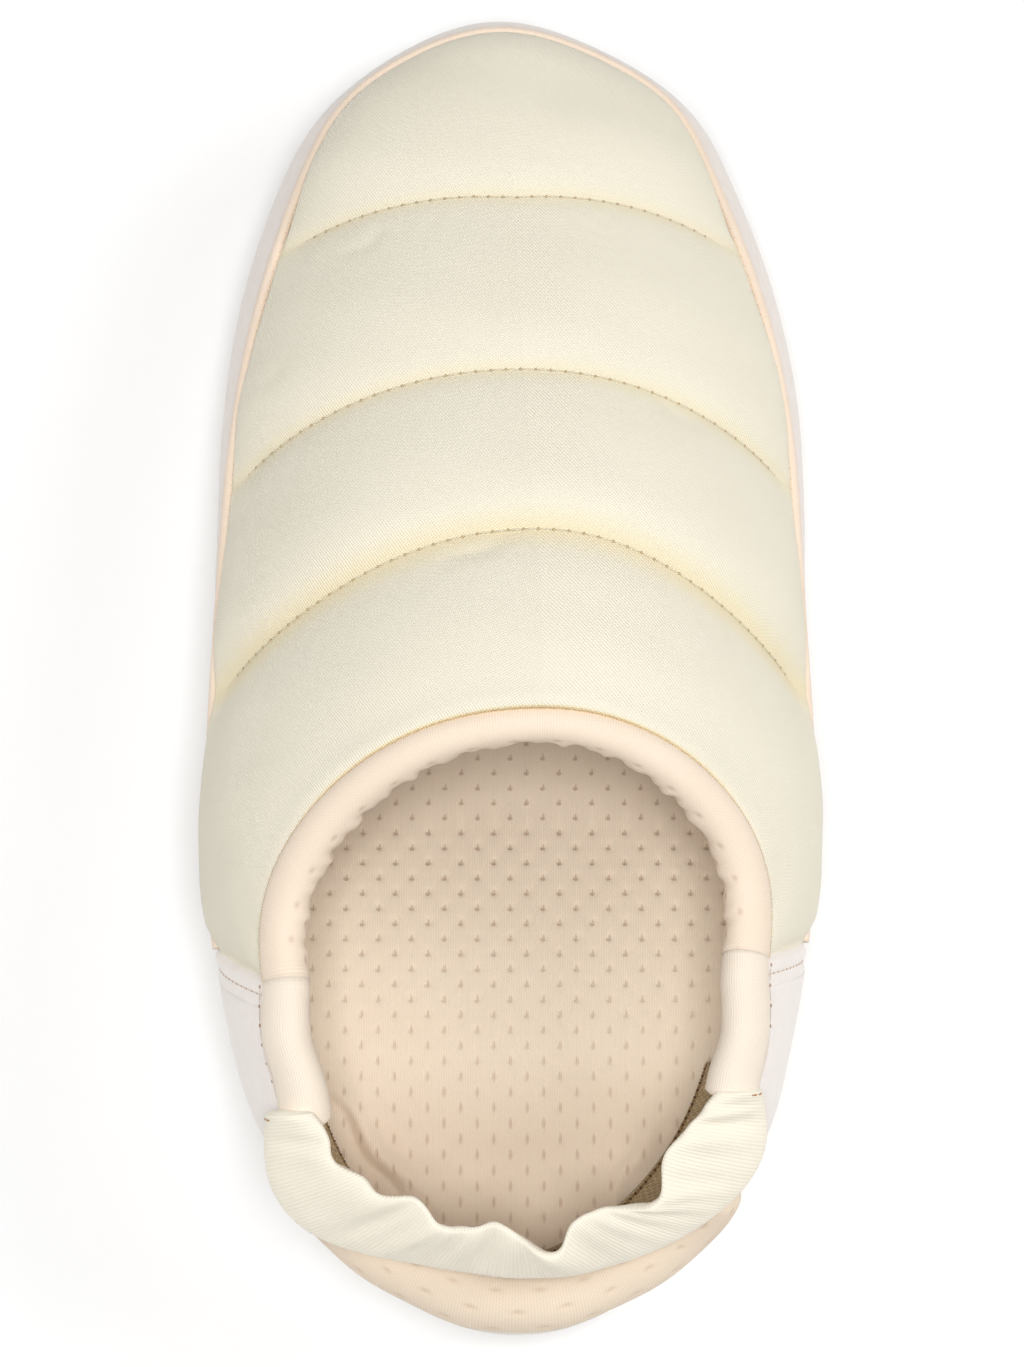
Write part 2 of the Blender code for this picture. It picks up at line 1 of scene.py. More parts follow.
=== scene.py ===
# %% [markdown]
# A quilted slip-on mule with a padded collar and a gathered heel sling, right shoe of a pair.
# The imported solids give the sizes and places. This script dresses them: it makes each sewn piece
# again as a fine surface with its swell, folds, seams and stitches, and gives it a cloth finish.
# The solids could be subdivided instead, but a sewn piece needs rows of points along its own seams.

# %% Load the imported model
import math

import bmesh
import bpy
import numpy as np
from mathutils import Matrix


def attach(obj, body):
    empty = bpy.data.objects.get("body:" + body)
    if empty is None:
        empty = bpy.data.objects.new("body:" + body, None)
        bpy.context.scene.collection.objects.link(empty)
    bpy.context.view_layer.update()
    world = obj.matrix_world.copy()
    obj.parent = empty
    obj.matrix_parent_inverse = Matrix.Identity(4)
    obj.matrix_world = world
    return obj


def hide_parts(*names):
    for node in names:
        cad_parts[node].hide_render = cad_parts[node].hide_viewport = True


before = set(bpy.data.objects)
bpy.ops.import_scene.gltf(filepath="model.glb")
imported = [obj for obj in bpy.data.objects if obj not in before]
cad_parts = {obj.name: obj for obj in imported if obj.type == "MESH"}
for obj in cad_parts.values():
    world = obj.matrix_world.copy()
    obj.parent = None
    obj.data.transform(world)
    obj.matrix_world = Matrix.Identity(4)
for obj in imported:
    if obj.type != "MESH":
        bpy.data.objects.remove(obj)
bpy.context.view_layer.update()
MM = 0.001


# %% [markdown]
# Shoemakers build a shoe round a last, a solid foot shape. All soft pieces here are cut from one
# function of the last, form(), which the solids also use. theta walks round the line where the
# upper meets the sole, from the heel to the toe, and phi climbs from that line to the ridge.
# Short tables hold the sizes in millimetres, and a smooth curve runs through each of them.

# %% Sizes of the last
SHIFT = np.array([0.287, 0.922, 0.0])
WALL = 3.0
GAP = 0.3
LAST_LENGTH = 266.0
HALF = LAST_LENGTH / 2
HEEL_RADIUS = 31.0
TOE_RADIUS = 26.0

# station y, half width on the medial side, half width on the lateral side
FEATHER_LINE = (
    (-105.0, 37.0, 37.0), (-75.0, 46.0, 44.8), (-35.0, 49.8, 48.8), (0.0, 53.0, 52.0),
    (42.0, 55.2, 55.0), (77.0, 50.9, 50.7), (105.0, 40.9, 41.7), (120.0, 29.2, 30.6),
)
# station y, then one size at that station
FEATHER_HEIGHT = (
    (-134.0, 28.0), (-90.0, 26.5), (-35.0, 23.0), (15.0, 19.5), (60.0, 18.5), (100.0, 18.5), (134.0, 20.0),
)
RIDGE_HEIGHT = (
    (-134.0, 124.0), (-70.0, 106.0), (-30.0, 96.0), (7.0, 85.0), (42.0, 72.5), (77.0, 60.5),
    (105.0, 53.0), (120.0, 50.0), (134.0, 48.0),
)
AXIS_X = ((-134.0, 0.9), (0.0, 0.0), (80.0, -0.6), (134.0, -2.6))
SPINE_X = ((-134.0, 0.9), (-30.0, 5.5), (20.0, 2.5), (90.0, 0.0), (134.0, -1.0))
FULLNESS = ((-134.0, 2.0), (-75.0, 2.05), (0.0, 2.3), (45.0, 2.2), (90.0, 2.1), (134.0, 2.05))
BULGE = (
    (-134.0, 0.5), (-105.0, 5.5), (-70.0, 8.0), (-25.0, 6.6), (10.0, 2.4), (45.0, 0.4), (75.0, 0.0),
    (134.0, 0.0),
)
ARCH = (
    (-134.0, 0.0), (-85.0, 0.0), (-65.0, 6.0), (-47.0, 17.0), (-14.0, 23.0), (27.5, 17.5), (75.5, 13.6),
    (100.0, 8.3), (134.0, 7.2),
)
TOPLINE = ((-134.0, 43.0), (-116.0, 43.5), (-107.0, 54.0), (-99.0, 67.5), (-88.0, 70.0), (-76.0, 72.5))
RAND_TOP = (
    (-134.0, 41.0), (-60.0, 41.0), (0.0, 41.0), (45.0, 41.5), (80.0, 41.0), (105.0, 38.0), (120.0, 37.0),
    (134.0, 38.5),
)
TOE_SPINE = 84.0
HEEL_SPINE = -95.0
SPINE_SOFT = 10.0

# Seams and edges as stations on the feather line
SEAMS = (75.5, 27.5, -14.0)
THROAT = -46.5
JOINT_HEIGHT = 72.5
# the collar joint and the roundness of the throat line, on the lateral and the medial side
JOINT = (-72.5, -76.0)
ROUND_ACROSS = (4.2, 3.2)
ROUND_ALONG = (3.0, 2.6)
BINDING_FOOT = -58.0
BINDING_WIDTH = 6.0


# %% Smooth curves through the tables
def natural_spline(table, column=1):
    """Natural cubic spline through a short table, held level outside it."""
    x = np.array([row[0] for row in table], float)
    y = np.array([row[column] for row in table], float)
    step = np.diff(x)
    slope = np.diff(y) / step
    system = np.eye(len(x))
    pull = np.zeros(len(x))
    for i in range(1, len(x) - 1):
        system[i, i - 1:i + 2] = step[i - 1], 2 * (step[i - 1] + step[i]), step[i]
        pull[i] = 6 * (slope[i] - slope[i - 1])
    bend = np.linalg.solve(system, pull)

    def curve(at):
        at = np.clip(at, x[0], x[-1])
        i = np.clip(np.searchsorted(x, at) - 1, 0, len(x) - 2)
        left, right, h = at - x[i], x[i + 1] - at, step[i]
        cubic = (bend[i] * right ** 3 + bend[i + 1] * left ** 3) / (6 * h)
        return cubic + (y[i] / h - bend[i] * h / 6) * right + (y[i + 1] / h - bend[i + 1] * h / 6) * left

    return curve


def width_curve(column):
    """Half width divided by the half width of a circle, so that the ends stay round."""
    rows = [(-HALF, math.sqrt(HEEL_RADIUS * HALF))]
    rows += [(row[0], row[column] / math.sqrt(1 - (row[0] / HALF) ** 2)) for row in FEATHER_LINE]
    rows += [(HALF, math.sqrt(TOE_RADIUS * HALF))]
    return natural_spline(rows)


medial_width = width_curve(1)
lateral_width = width_curve(2)
feather_height = natural_spline(FEATHER_HEIGHT)
ridge_height = natural_spline(RIDGE_HEIGHT)
axis_x = natural_spline(AXIS_X)
spine_x = natural_spline(SPINE_X)
fullness = natural_spline(FULLNESS)
bulge = natural_spline(BULGE)
arch = natural_spline(ARCH)
top_height = natural_spline(TOPLINE)
rand_height = natural_spline(RAND_TOP)


# %% The last
def theta_of(station):
    """Angle round the last, 0 at the heel and pi at the toe, of a station y on the feather line."""
    return np.arccos(np.clip(-np.asarray(station, float) / HALF, -1, 1))


def station_of(theta):
    return -HALF * np.cos(theta)


def feather(side, theta):
    """Feather line in plan: the axis plus the half width times sin(theta); side +1 is lateral, -1 medial."""
    y = station_of(theta)
    width = np.where(side > 0, lateral_width(y), medial_width(y)) * np.sin(theta)
    return axis_x(y) + side * width, y


def feather_normal(side, theta):
    """Outward direction of the feather line in plan, square to a short step along it."""
    x1, y1 = feather(side, theta + 1e-4)
    x0, y0 = feather(side, theta - 1e-4)
    length = np.hypot(x1 - x0, y1 - y0)
    return side * (y1 - y0) / length, -side * (x1 - x0) / length


def spine_y(y):
    """Ridge station: follows y, and stops softly short of the toe and the heel."""
    y = TOE_SPINE - SPINE_SOFT * np.log1p(np.exp((TOE_SPINE - y) / SPINE_SOFT))
    return HEEL_SPINE + SPINE_SOFT * np.log1p(np.exp((y - HEEL_SPINE) / SPINE_SOFT))


def form(side, theta, phi, grow):
    """Point on the last pushed out by grow: a superellipse from the feather line up to the ridge,
    swollen above the sole by bulge and bent forward by arch."""
    side, theta, phi, grow = np.broadcast_arrays(*[np.asarray(v, float) for v in (side, theta, phi, grow)])
    edge_x, edge_y = feather(side, theta)
    out_x, out_y = feather_normal(side, theta)
    power = 2 / fullness(edge_y)
    inward = np.clip(np.cos(phi), 0, 1) ** power
    rise = np.clip(np.sin(phi), 0, 1) ** power
    push = grow + bulge(edge_y) * np.sin(np.pi * rise ** 0.6)
    ridge_x, ridge_y = spine_x(edge_y), spine_y(edge_y)
    x = ridge_x + (edge_x + out_x * push - ridge_x) * inward
    y = ridge_y + (edge_y + out_y * push - ridge_y) * inward + arch(edge_y) * (1 - inward ** 2)
    low = feather_height(edge_y)
    z = low + (ridge_height(y) + grow - low) * rise
    return np.stack([x, y, z], -1)


def phi_at_height(side, theta, height):
    """Angle phi at which a wall column reaches a height: the first crossing on a fine ladder of angles."""
    side, theta, height = np.broadcast_arrays(*[np.asarray(v, float) for v in (side, theta, height)])
    ladder = np.linspace(0, np.pi / 2, 181)
    z = np.maximum.accumulate(form(side[..., None], theta[..., None], ladder, WALL)[..., 2], axis=-1)
    above = np.clip((z < height[..., None]).sum(-1), 1, len(ladder) - 1)
    z0 = np.take_along_axis(z, above[..., None] - 1, -1)[..., 0]
    z1 = np.take_along_axis(z, above[..., None], -1)[..., 0]
    share = np.clip((height - z0) / np.maximum(z1 - z0, 1e-9), 0, 1)
    return ladder[above - 1] + share * ladder[1]


STEPS = np.linspace(0, np.pi, 721)
SIDES = (1.0, -1.0)
JOINT_PHI = phi_at_height(SIDES, theta_of(JOINT), (JOINT_HEIGHT, JOINT_HEIGHT))
REAR_TOP = [phi_at_height(s, STEPS, top_height(station_of(STEPS))) for s in SIDES]
RAND_EDGE = [phi_at_height(s, STEPS, rand_height(station_of(STEPS))) for s in SIDES]
print("collar joints at phi", JOINT_PHI.round(3))


# %% Edges on the last
def by_side(side, pair):
    """The first of a pair on the lateral side, the second on the medial side."""
    return np.where(np.asarray(side) > 0, pair[0], pair[1])


def rand_phi(side, theta):
    """Angle phi of the rand's top edge."""
    return by_side(side, [np.interp(theta, STEPS, edge) for edge in RAND_EDGE])


def throat_share(side, station):
    """How far down the throat line a station lies, 1 at the joint and 0 on the ridge: a superellipse."""
    joint = by_side(side, JOINT)
    forward = np.clip((station - joint) / (THROAT - joint), 0, 1)
    return (1 - forward ** by_side(side, ROUND_ALONG)) ** (1 / by_side(side, ROUND_ACROSS))


def throat_station(side, share):
    """Station of the throat line at a share, the same superellipse read the other way."""
    joint = by_side(side, JOINT)
    forward = (1 - share ** by_side(side, ROUND_ACROSS)) ** (1 / by_side(side, ROUND_ALONG))
    return joint + (THROAT - joint) * forward


def topline_phi(side, theta):
    """Angle phi of the wall's top edge: low round the heel, up along the collar, then round the throat."""
    station = station_of(theta)
    rear = by_side(side, [np.interp(theta, STEPS, edge) for edge in REAR_TOP])
    front = np.pi / 2 - (np.pi / 2 - by_side(side, JOINT_PHI)) * throat_share(side, station)
    return np.where(station <= by_side(side, JOINT), rear, front)


def throat_stations(side, count):
    """Stations from the joint round to the ridge, evenly spaced along the throat line."""
    joint = float(by_side(side, JOINT))
    flat_part = throat_station(side, np.linspace(1, 0, 500))
    fine = np.sort(np.concatenate([flat_part, np.linspace(joint, THROAT, 500)]))
    angle = theta_of(fine)
    run = lengths(form(side, angle, topline_phi(side, angle), WALL), 0)
    stations = np.interp(np.linspace(0, run[-1], count), run, fine)
    stations[0], stations[-1] = joint, THROAT
    return stations


def rear_station(side, phi):
    """Station of the vamp's rear edge: up the binding to the joint, then round the throat."""
    corner = by_side(side, JOINT_PHI)
    lower = BINDING_FOOT + (by_side(side, JOINT) - BINDING_FOOT) * np.clip(phi / corner, 0, 1)
    share = np.clip((np.pi / 2 - phi) / (np.pi / 2 - corner), 0, 1)
    return np.where(phi < corner, lower, throat_station(side, share))


def round_the_heel(end, count):
    """Sides and angles from an end angle on the lateral side, round the heel, to the medial side."""
    half = np.linspace(0, end, count)
    side = np.concatenate([np.ones(count), -np.ones(count - 1)])
    return side, np.concatenate([half[::-1], half[1:]])


# %% [markdown]
# Every sewn piece below is a grid of points: columns along the shoe and rows across the cloth.
# A sheet with two faces is a ring of rows, out over one face and back under the other, carried
# along its columns, so that it is closed. A grid could be skinned face by face in a loop, but whole
# arrays put into the mesh at once are quicker, and the corner numbers are one short formula.
# Each point also keeps its place on the flat cloth, for the weave, and how near it is to a seam.


# %% Lengths and corners of a grid
def unit(vectors):
    """Vectors brought to length 1."""
    return vectors / np.maximum(np.linalg.norm(vectors, axis=-1, keepdims=True), 1e-12)


def lengths(points, axis):
    """Distance run along one axis of a grid, zero at its start."""
    steps = np.linalg.norm(np.diff(points, axis=axis), axis=-1)
    start = np.zeros_like(np.take(steps, [0], axis=axis))
    return np.concatenate([start, np.cumsum(steps, axis=axis)], axis=axis)


def grid_quads(columns, rows, stride):
    """Corner numbers of the quads of a grid whose rows close into rings, stride numbers to a column."""
    i, k = np.meshgrid(np.arange(columns - 1), np.arange(rows), indexing="ij")
    m = (k + 1) % stride
    return np.stack([i * stride + k, (i + 1) * stride + k, (i + 1) * stride + m, i * stride + m], -1)


def strip_cloth(points, ring=False):
    """Place on the flat cloth of a strip: distance along its middle row, and across each column.

    A ring gets one more row, so that the cloth runs on to where the ring closes.
    """
    if ring:
        points = np.concatenate([points, points[:, :1]], axis=1)
    middle = points[:, points.shape[1] // 2]
    along = lengths(middle, 0)[:, None] + np.zeros(points.shape[:2])
    return np.stack([along, lengths(points, 1)], -1)


# %% From grids to meshes
def make_piece(name, grids, cloth, seam=None, keep=None):
    """Mesh object from a stack of equal grids of points in mm, columns by rows, whose rows are rings.

    Doubled points are merged, so that a column drawn to a point or a line closes the piece.
    """
    grids = grids if grids.ndim == 4 else grids[None]
    cloth = cloth if cloth.ndim == 4 else cloth[None]
    count, columns, rows = grids.shape[:3]
    quads = grid_quads(columns, rows, rows)
    corners = grid_quads(columns, rows, cloth.shape[2])
    if keep is not None:
        quads, corners = quads[keep], corners[keep]
    quads, corners = quads.reshape(-1, 4), corners.reshape(-1, 4)
    stack = np.arange(count)[:, None, None]
    quads = (quads + stack * columns * rows).reshape(-1, 4)
    corners = (corners + stack * columns * cloth.shape[2]).reshape(-1, 4)
    mesh = bpy.data.meshes.new(name)
    mesh.vertices.add(count * columns * rows)
    mesh.vertices.foreach_set("co", ((grids + SHIFT) * MM).ravel())
    mesh.loops.add(quads.size)
    mesh.loops.foreach_set("vertex_index", quads.ravel())
    mesh.polygons.add(len(quads))
    mesh.polygons.foreach_set("loop_start", np.arange(0, quads.size, 4))
    mesh.polygons.foreach_set("use_smooth", np.ones(len(quads), bool))
    mesh.update(calc_edges=True)
    mesh.uv_layers.new(name="cloth").data.foreach_set("uv", cloth.reshape(-1, 2)[corners.ravel()].ravel())
    near = np.zeros(count * columns * rows) if seam is None else seam.ravel()
    mesh.attributes.new("seam", "FLOAT", "POINT").data.foreach_set("value", near)
    builder = bmesh.new()
    builder.from_mesh(mesh)
    bmesh.ops.remove_doubles(builder, verts=builder.verts, dist=2e-6)
    bmesh.ops.dissolve_degenerate(builder, edges=builder.edges, dist=1e-7)
    bmesh.ops.recalc_face_normals(builder, faces=builder.faces)
    builder.to_mesh(mesh)
    builder.free()
    piece = bpy.data.objects.new(name, mesh)
    bpy.context.scene.collection.objects.link(piece)
    return piece


def dress(piece, finish, nodes=()):
    """Finish a piece, hang it under the root, hide the solids it stands for, and print its triangles."""
    piece.data.materials.append(finish)
    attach(piece, "root")
    if nodes:
        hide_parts(*nodes)
    triangles = sum(len(p.vertices) - 2 for p in piece.data.polygons)
    print(piece.name, "triangles:", triangles)


# %% Sheets with two faces
def two_faced(outer, inner):
    """Rings of a sheet: up its outer face and down its inner face."""
    return np.concatenate([outer, inner[:, ::-1]], axis=1)


def pinched(rings):
    """Rings with an added flat ring at each end, where the outer and inner faces meet in a line."""
    half = rings.shape[1] // 2
    ends = []
    for end in (rings[:1], rings[-1:]):
        middle = (end[:, :half] + end[:, :half - 1:-1]) / 2
        ends.append(np.concatenate([middle, middle[:, ::-1]], axis=1))
    return np.concatenate([ends[0], rings, ends[1]])


def edged(values):
    """Values of a pinched grid: the first and last columns are counted twice."""
    return np.concatenate([values[:1], values, values[-1:]])


def make_sheet(name, outer, inner, laid=None, seam=None, keep=None):
    """Closed sheet from its two faces; laid is its place on the flat cloth, a strip's where none is given."""
    laid = strip_cloth(outer) if laid is None else laid
    seam = np.zeros(outer.shape[:2]) if seam is None else seam
    cloth, near = [edged(two_faced(values, values)) for values in (laid, seam)]
    return make_piece(name, pinched(two_faced(outer, inner)), cloth, seam=near, keep=keep)


def path_frame(path, outward):
    """Unit directions outward and upward at every point of a path, square to it and to each other."""
    along = unit(np.gradient(path, axis=0))
    outward = unit(outward - along * (outward * along).sum(-1, keepdims=True))
    up = np.cross(outward, along)
    return outward, up * np.sign(up[len(up) // 2, 2])


# %% Shapes of swell and dent
def bell(away, reach):
    """Bell curve of a distance: 1 at 0, and about a third at the reach."""
    return np.exp(-(away / reach) ** 2)


def ramp(value, start, run):
    """Straight rise from 0 at start to 1 after a run; a run below zero goes the other way."""
    return np.clip((value - start) / run, 0, 1)


def dome(share):
    """Quarter circle: 0 at share 0, rising steeply, and level at 1."""
    return np.sqrt(1 - (1 - np.clip(share, 0, 1)) ** 2)


def graded(start, end, count):
    """Places from start to end, closer together at both ends: part even, part cosine spacing."""
    t = np.linspace(0, 1, count)
    return start + (end - start) * (0.3 * t + 0.7 * (0.5 - 0.5 * np.cos(np.pi * t)))


def dents(points, seed, short=16.0, long=44.0, waves=6):
    """Soft unevenness, mostly between -1 and 1: a sum of sines with seeded directions and lengths."""
    chance = np.random.default_rng(seed)
    total = np.zeros(points.shape[:-1])
    for _ in range(waves):
        direction = unit(chance.normal(size=3))
        size, start = chance.uniform(short, long), chance.uniform(0, 6.28)
        total += np.sin(2 * np.pi * (points @ direction) / size + start)
    return total / math.sqrt(waves)


def creases(x, y, table):
    """Sum of soft ridges and, where the height is below zero, troughs: each is a bell curve of the
    distance to its line in plan, which wavers a little and fades towards the ends."""
    total = np.zeros_like(x)
    for x0, y0, x1, y1, height, width in table:
        run = np.hypot(x1 - x0, y1 - y0)
        along = ((x - x0) * (x1 - x0) + (y - y0) * (y1 - y0)) / run ** 2
        away = ((x - x0) * (y1 - y0) - (y - y0) * (x1 - x0)) / run + 0.9 * np.sin(9 * along)
        fade = np.exp(-(2.2 * (along - 0.5)) ** 4)
        total += height * fade * bell(away, width)
    return total


# %% [markdown]
# The finishes are cloth. Real cloth is a weave of yarns far finer than the mesh, so its ribs, loops
# and holes are worked out in the material from the place on the flat cloth, and only shown as bump
# and a small change of colour. An image could hold the weave, but formulas stay sharp at any size.
# Signal lets a formula be written with plain arithmetic: each operation adds one Math node.


# %% Arithmetic for materials
class Signal:
    """A number inside one material; arithmetic on it adds Math nodes."""

    def __init__(self, tree, socket):
        self.tree = tree
        self.socket = socket

    def math(self, operation, *others):
        node = self.tree.nodes.new("ShaderNodeMath")
        node.operation = operation
        self.tree.links.new(self.socket, node.inputs[0])
        for other, entry in zip(others, node.inputs[1:]):
            if isinstance(other, Signal):
                self.tree.links.new(other.socket, entry)
            else:
                entry.default_value = other
        return Signal(self.tree, node.outputs[0])

    def __add__(self, other):
        return self.math("ADD", other)

    def __sub__(self, other):
        return self.math("SUBTRACT", other)

    def __mul__(self, other):
        return self.math("MULTIPLY", other)

    def __truediv__(self, other):
        return self.math("DIVIDE", other)

    def wave(self, pitch):
        """Sine with a period of pitch, between -1 and 1."""
        return (self * (2 * math.pi / pitch)).math("SINE")

    def clamp(self):
        node = self.tree.nodes.new("ShaderNodeClamp")
        self.tree.links.new(self.socket, node.inputs[0])
        return Signal(self.tree, node.outputs[0])


class Finish:
    """A material with a Principled shader; its methods add the nodes that the cloths share."""

    def __init__(self, name, roughness, sheen=0.0, specular=0.3):
        self.material = bpy.data.materials.new(name)
        self.material.use_nodes = True
        self.tree = self.material.node_tree
        self.shader = self.tree.nodes["Principled BSDF"]
        self.shader.inputs["Roughness"].default_value = roughness
        self.shader.inputs["Sheen Weight"].default_value = sheen
        self.shader.inputs["Sheen Roughness"].default_value = 0.5
        self.shader.inputs["Specular IOR Level"].default_value = specular

    def split(self, socket, scale):
        """The parts x, y, z of a vector, times scale."""
        node = self.tree.nodes.new("ShaderNodeSeparateXYZ")
        self.tree.links.new(socket, node.inputs[0])
        return [Signal(self.tree, out) * scale for out in node.outputs]

    def cloth(self):
        """Place on the flat cloth in mm: along and across."""
        node = self.tree.nodes.new("ShaderNodeUVMap")
        node.uv_map = "cloth"
        return self.split(node.outputs[0], 1.0)[:2]

    def place(self):
        """Place on the shoe in mm: x, y, z."""
        node = self.tree.nodes.new("ShaderNodeTexCoord")
        return self.split(node.outputs["Object"], 1 / MM)

    def seam(self):
        node = self.tree.nodes.new("ShaderNodeAttribute")
        node.attribute_name = "seam"
        return Signal(self.tree, node.outputs["Fac"])

    def noise(self, size, detail=2.0):
        """Smooth noise on the shoe between 0 and 1, with features of about size mm."""
        where = self.tree.nodes.new("ShaderNodeTexCoord")
        node = self.tree.nodes.new("ShaderNodeTexNoise")
        node.inputs["Scale"].default_value = 1 / (size * MM)
        node.inputs["Detail"].default_value = detail
        self.tree.links.new(where.outputs["Object"], node.inputs["Vector"])
        return Signal(self.tree, node.outputs["Fac"])

    def blend(self, share, first, second):
        """Colour between two colours; either may be the result of another blend."""
        node = self.tree.nodes.new("ShaderNodeMix")
        node.data_type = "RGBA"
        self.tree.links.new(share.socket, node.inputs["Factor"])
        for entry, colour in ((node.inputs[6], first), (node.inputs[7], second)):
            if isinstance(colour, tuple):
                entry.default_value = colour
            else:
                self.tree.links.new(colour, entry)
        return node.outputs[2]

    def finish(self, colour, height, depth):
        """Colour the shader and raise the height, which runs between -1 and 1, by depth mm of bump."""
        self.tree.links.new(colour, self.shader.inputs["Base Color"])
        node = self.tree.nodes.new("ShaderNodeBump")
        node.inputs["Distance"].default_value = depth * MM
        self.tree.links.new(height.socket, node.inputs["Height"])
        self.tree.links.new(node.outputs[0], self.shader.inputs["Normal"])
        return self.material


def paint(red, green, blue):
    """Screen colour from 0 to 255 as the shader's linear colour."""
    return tuple(((c / 255 + 0.055) / 1.055) ** 2.4 for c in (red, green, blue)) + (1.0,)


def darker(colour, share):
    """A colour with its red, green and blue brought down to a share."""
    return tuple(c * share for c in colour[:3]) + (1.0,)


# %% [markdown]
# Camera and light come first, because every later choice is judged by them. The photograph looks
# down on the shoe from behind the heel, tilted 14 degrees from straight down, with a long lens.
# Its light is soft and white and comes from above and from the right; the left flank is a little
# darker. A white world and three broad lamps give that: the main one on the camera's axis, and a
# weaker one on each side. A pale floor carries a faint shadow.

# %% Camera, lamps, world and floor
TILT = math.radians(14.0)
EYE_DISTANCE = 900.0
AIM = np.array([0.0, -7.418, 30.0]) + SHIFT
LENS = 116.94
WORLD_LIGHT = 0.26
FLOOR_SIZE = 6.0
FLOOR_DROP = 0.2

# place in mm, size in mm, power in watts
LAMPS = {
    "lamp_above": ((20.0, -370.0, 1485.0), 450.0, 13.9),
    "lamp_right": ((950.0, 200.0, 900.0), 700.0, 4.9),
    "lamp_left": ((-950.0, 100.0, 800.0), 700.0, 2.4),
}

camera = bpy.data.objects.new("camera", bpy.data.cameras.new("camera"))
camera.data.lens = LENS
camera.data.sensor_width = 36.0
camera.location = (AIM + EYE_DISTANCE * np.array([0.0, -math.sin(TILT), math.cos(TILT)])) * MM
camera.rotation_euler = (TILT, 0.0, 0.0)
bpy.context.scene.collection.objects.link(camera)
bpy.context.scene.camera = camera

for name, (place, size, watts) in LAMPS.items():
    lamp = bpy.data.objects.new(name, bpy.data.lights.new(name, "AREA"))
    lamp.data.size = size * MM
    lamp.data.energy = watts
    lamp.location = np.array(place) * MM
    x, y, z = place
    lamp.rotation_euler = (math.atan2(math.hypot(x, y), z), 0.0, math.atan2(x, -y))
    bpy.context.scene.collection.objects.link(lamp)

world = bpy.data.worlds.new("studio")
world.use_nodes = True
background = world.node_tree.nodes["Background"].inputs
background["Color"].default_value = (1.0, 1.0, 1.0, 1.0)
background["Strength"].default_value = WORLD_LIGHT
bpy.context.scene.world = world
bpy.context.scene.view_settings.view_transform = "Standard"

bpy.ops.mesh.primitive_plane_add(size=FLOOR_SIZE, location=(0.0, 0.0, -FLOOR_DROP * MM))
floor = bpy.context.object
floor.name = "floor"
floor_paint = bpy.data.materials.new("floor_paint")
floor_paint.use_nodes = True
floor_shader = floor_paint.node_tree.nodes["Principled BSDF"].inputs
floor_shader["Base Color"].default_value = (0.98, 0.98, 0.98, 1.0)
floor_shader["Roughness"].default_value = 0.9
floor.data.materials.append(floor_paint)
print("camera at", [round(v, 4) for v in camera.location])

# %% [markdown]
# The vamp is quilted: a cream twill, a layer of wadding and a backing, stitched together along
# three cross seams. Between seams the wadding swells into a round puff that falls to nothing at
# the seams, at the rand and at the throat. A cloth simulation could inflate it, but its seams would
# wander; here each puff is a quarter circle of the true distances to the seams, run together, so the
# seams stay exactly where the photograph has them. The cloth rises faster on the toe side of a seam.
# The third seam is the deepest, with a soft valley. A few creases are listed in a table.

# %% Sizes of the vamp
# height of a puff, and how far from a seam and from the rand it is full
PUFF = 4.0
PUFF_REACH = 19.0
RAND_REACH = 13.0
# depth of the dip at each seam, from the toe back
SEAM_DIP = (0.25, 0.3, 1.1)
# reach of the dip towards the toe and towards the heel
SEAM_VALLEY = ((1.6, 3.0), (1.8, 3.2), (4.5, 9.0))
# tint at each seam and how far it reaches: painted warm bounce light in the seam's valley, with the darker
# tan of its thread
SEAM_TINT = ((0.4, 2.2), (0.45, 2.4), (0.75, 3.8))
# painted shadow of the gap under the collar along the throat, on its slight brown edge: strength, brown above
# 1, and reach
THROAT_SHADOW_TINT = (1.15, 0.25)
# the cloth rises faster on the toe side of a seam than on its heel side
SEAM_RISE = (1.3, 0.65)
# radius of the hollow at a seam and at the other edges
SEAM_ROUND = 9.0
EDGE_ROUND = 1.0
# flat margin beside the binding and beside the rand
BINDING_MARGIN = 1.5
RAND_MARGIN = 1.8
# extra wadding along the rand, at the rear of the sides and round the throat
RAND_FILL = 1.0
SIDE_FILL = 1.8
THROAT_FILL = 1.3
# unevenness of the wadding, and puckers beside the seams
UNEVEN = 0.3
PUCKER = 0.22
PUCKER_PITCH = 7.5
SHELL_BACK = 1.3
# columns in a panel, and rows behind the rand, up the binding and round the throat
PANEL = 70
HIDDEN_ROWS = 4
BINDING_ROWS = 26
THROAT_ROWS = 48

# Creases: x and y of one end, x and y of the other end, height and half width
VAMP_CREASES = (
    (-12.5, 1.4, 0.9, 8.1, -0.6, 1.8),
    (-34.0, 73.0, -24.0, 79.0, -0.4, 1.8),
    (27.0, 38.0, 39.0, 35.0, -0.4, 1.8),
    (-51.0, 47.0, -42.0, 50.0, -0.4, 2.0),
)


# %% Columns and rows of the vamp
def row_phi(s, theta, rows):
    """Angle phi of rows: shares 0 to 1 climb to the rand's top edge, and 1 to 2 from there to the ridge."""
    low = rand_phi(s, theta)
    return low * np.minimum(rows, 1) + (np.pi / 2 - low) * np.maximum(rows - 1, 0)


def rear_rows(s):
    """Row shares and stations at the vamp's rear edge, even up the binding and round the throat."""
    turn = throat_stations(s, THROAT_ROWS)
    low = rand_phi(s, theta_of(turn))
    climb = 1 + (topline_phi(s, theta_of(turn)) - low) / (np.pi / 2 - low)
    rows = np.concatenate([np.linspace(0, 1, HIDDEN_ROWS + 1)[:-1], graded(1, climb[0], BINDING_ROWS)[:-1]])
    station = np.full_like(rows, turn[0])
    for _ in range(4):
        station = rear_station(s, row_phi(s, theta_of(station), rows))
    return np.concatenate([rows, climb]), np.concatenate([station, turn])


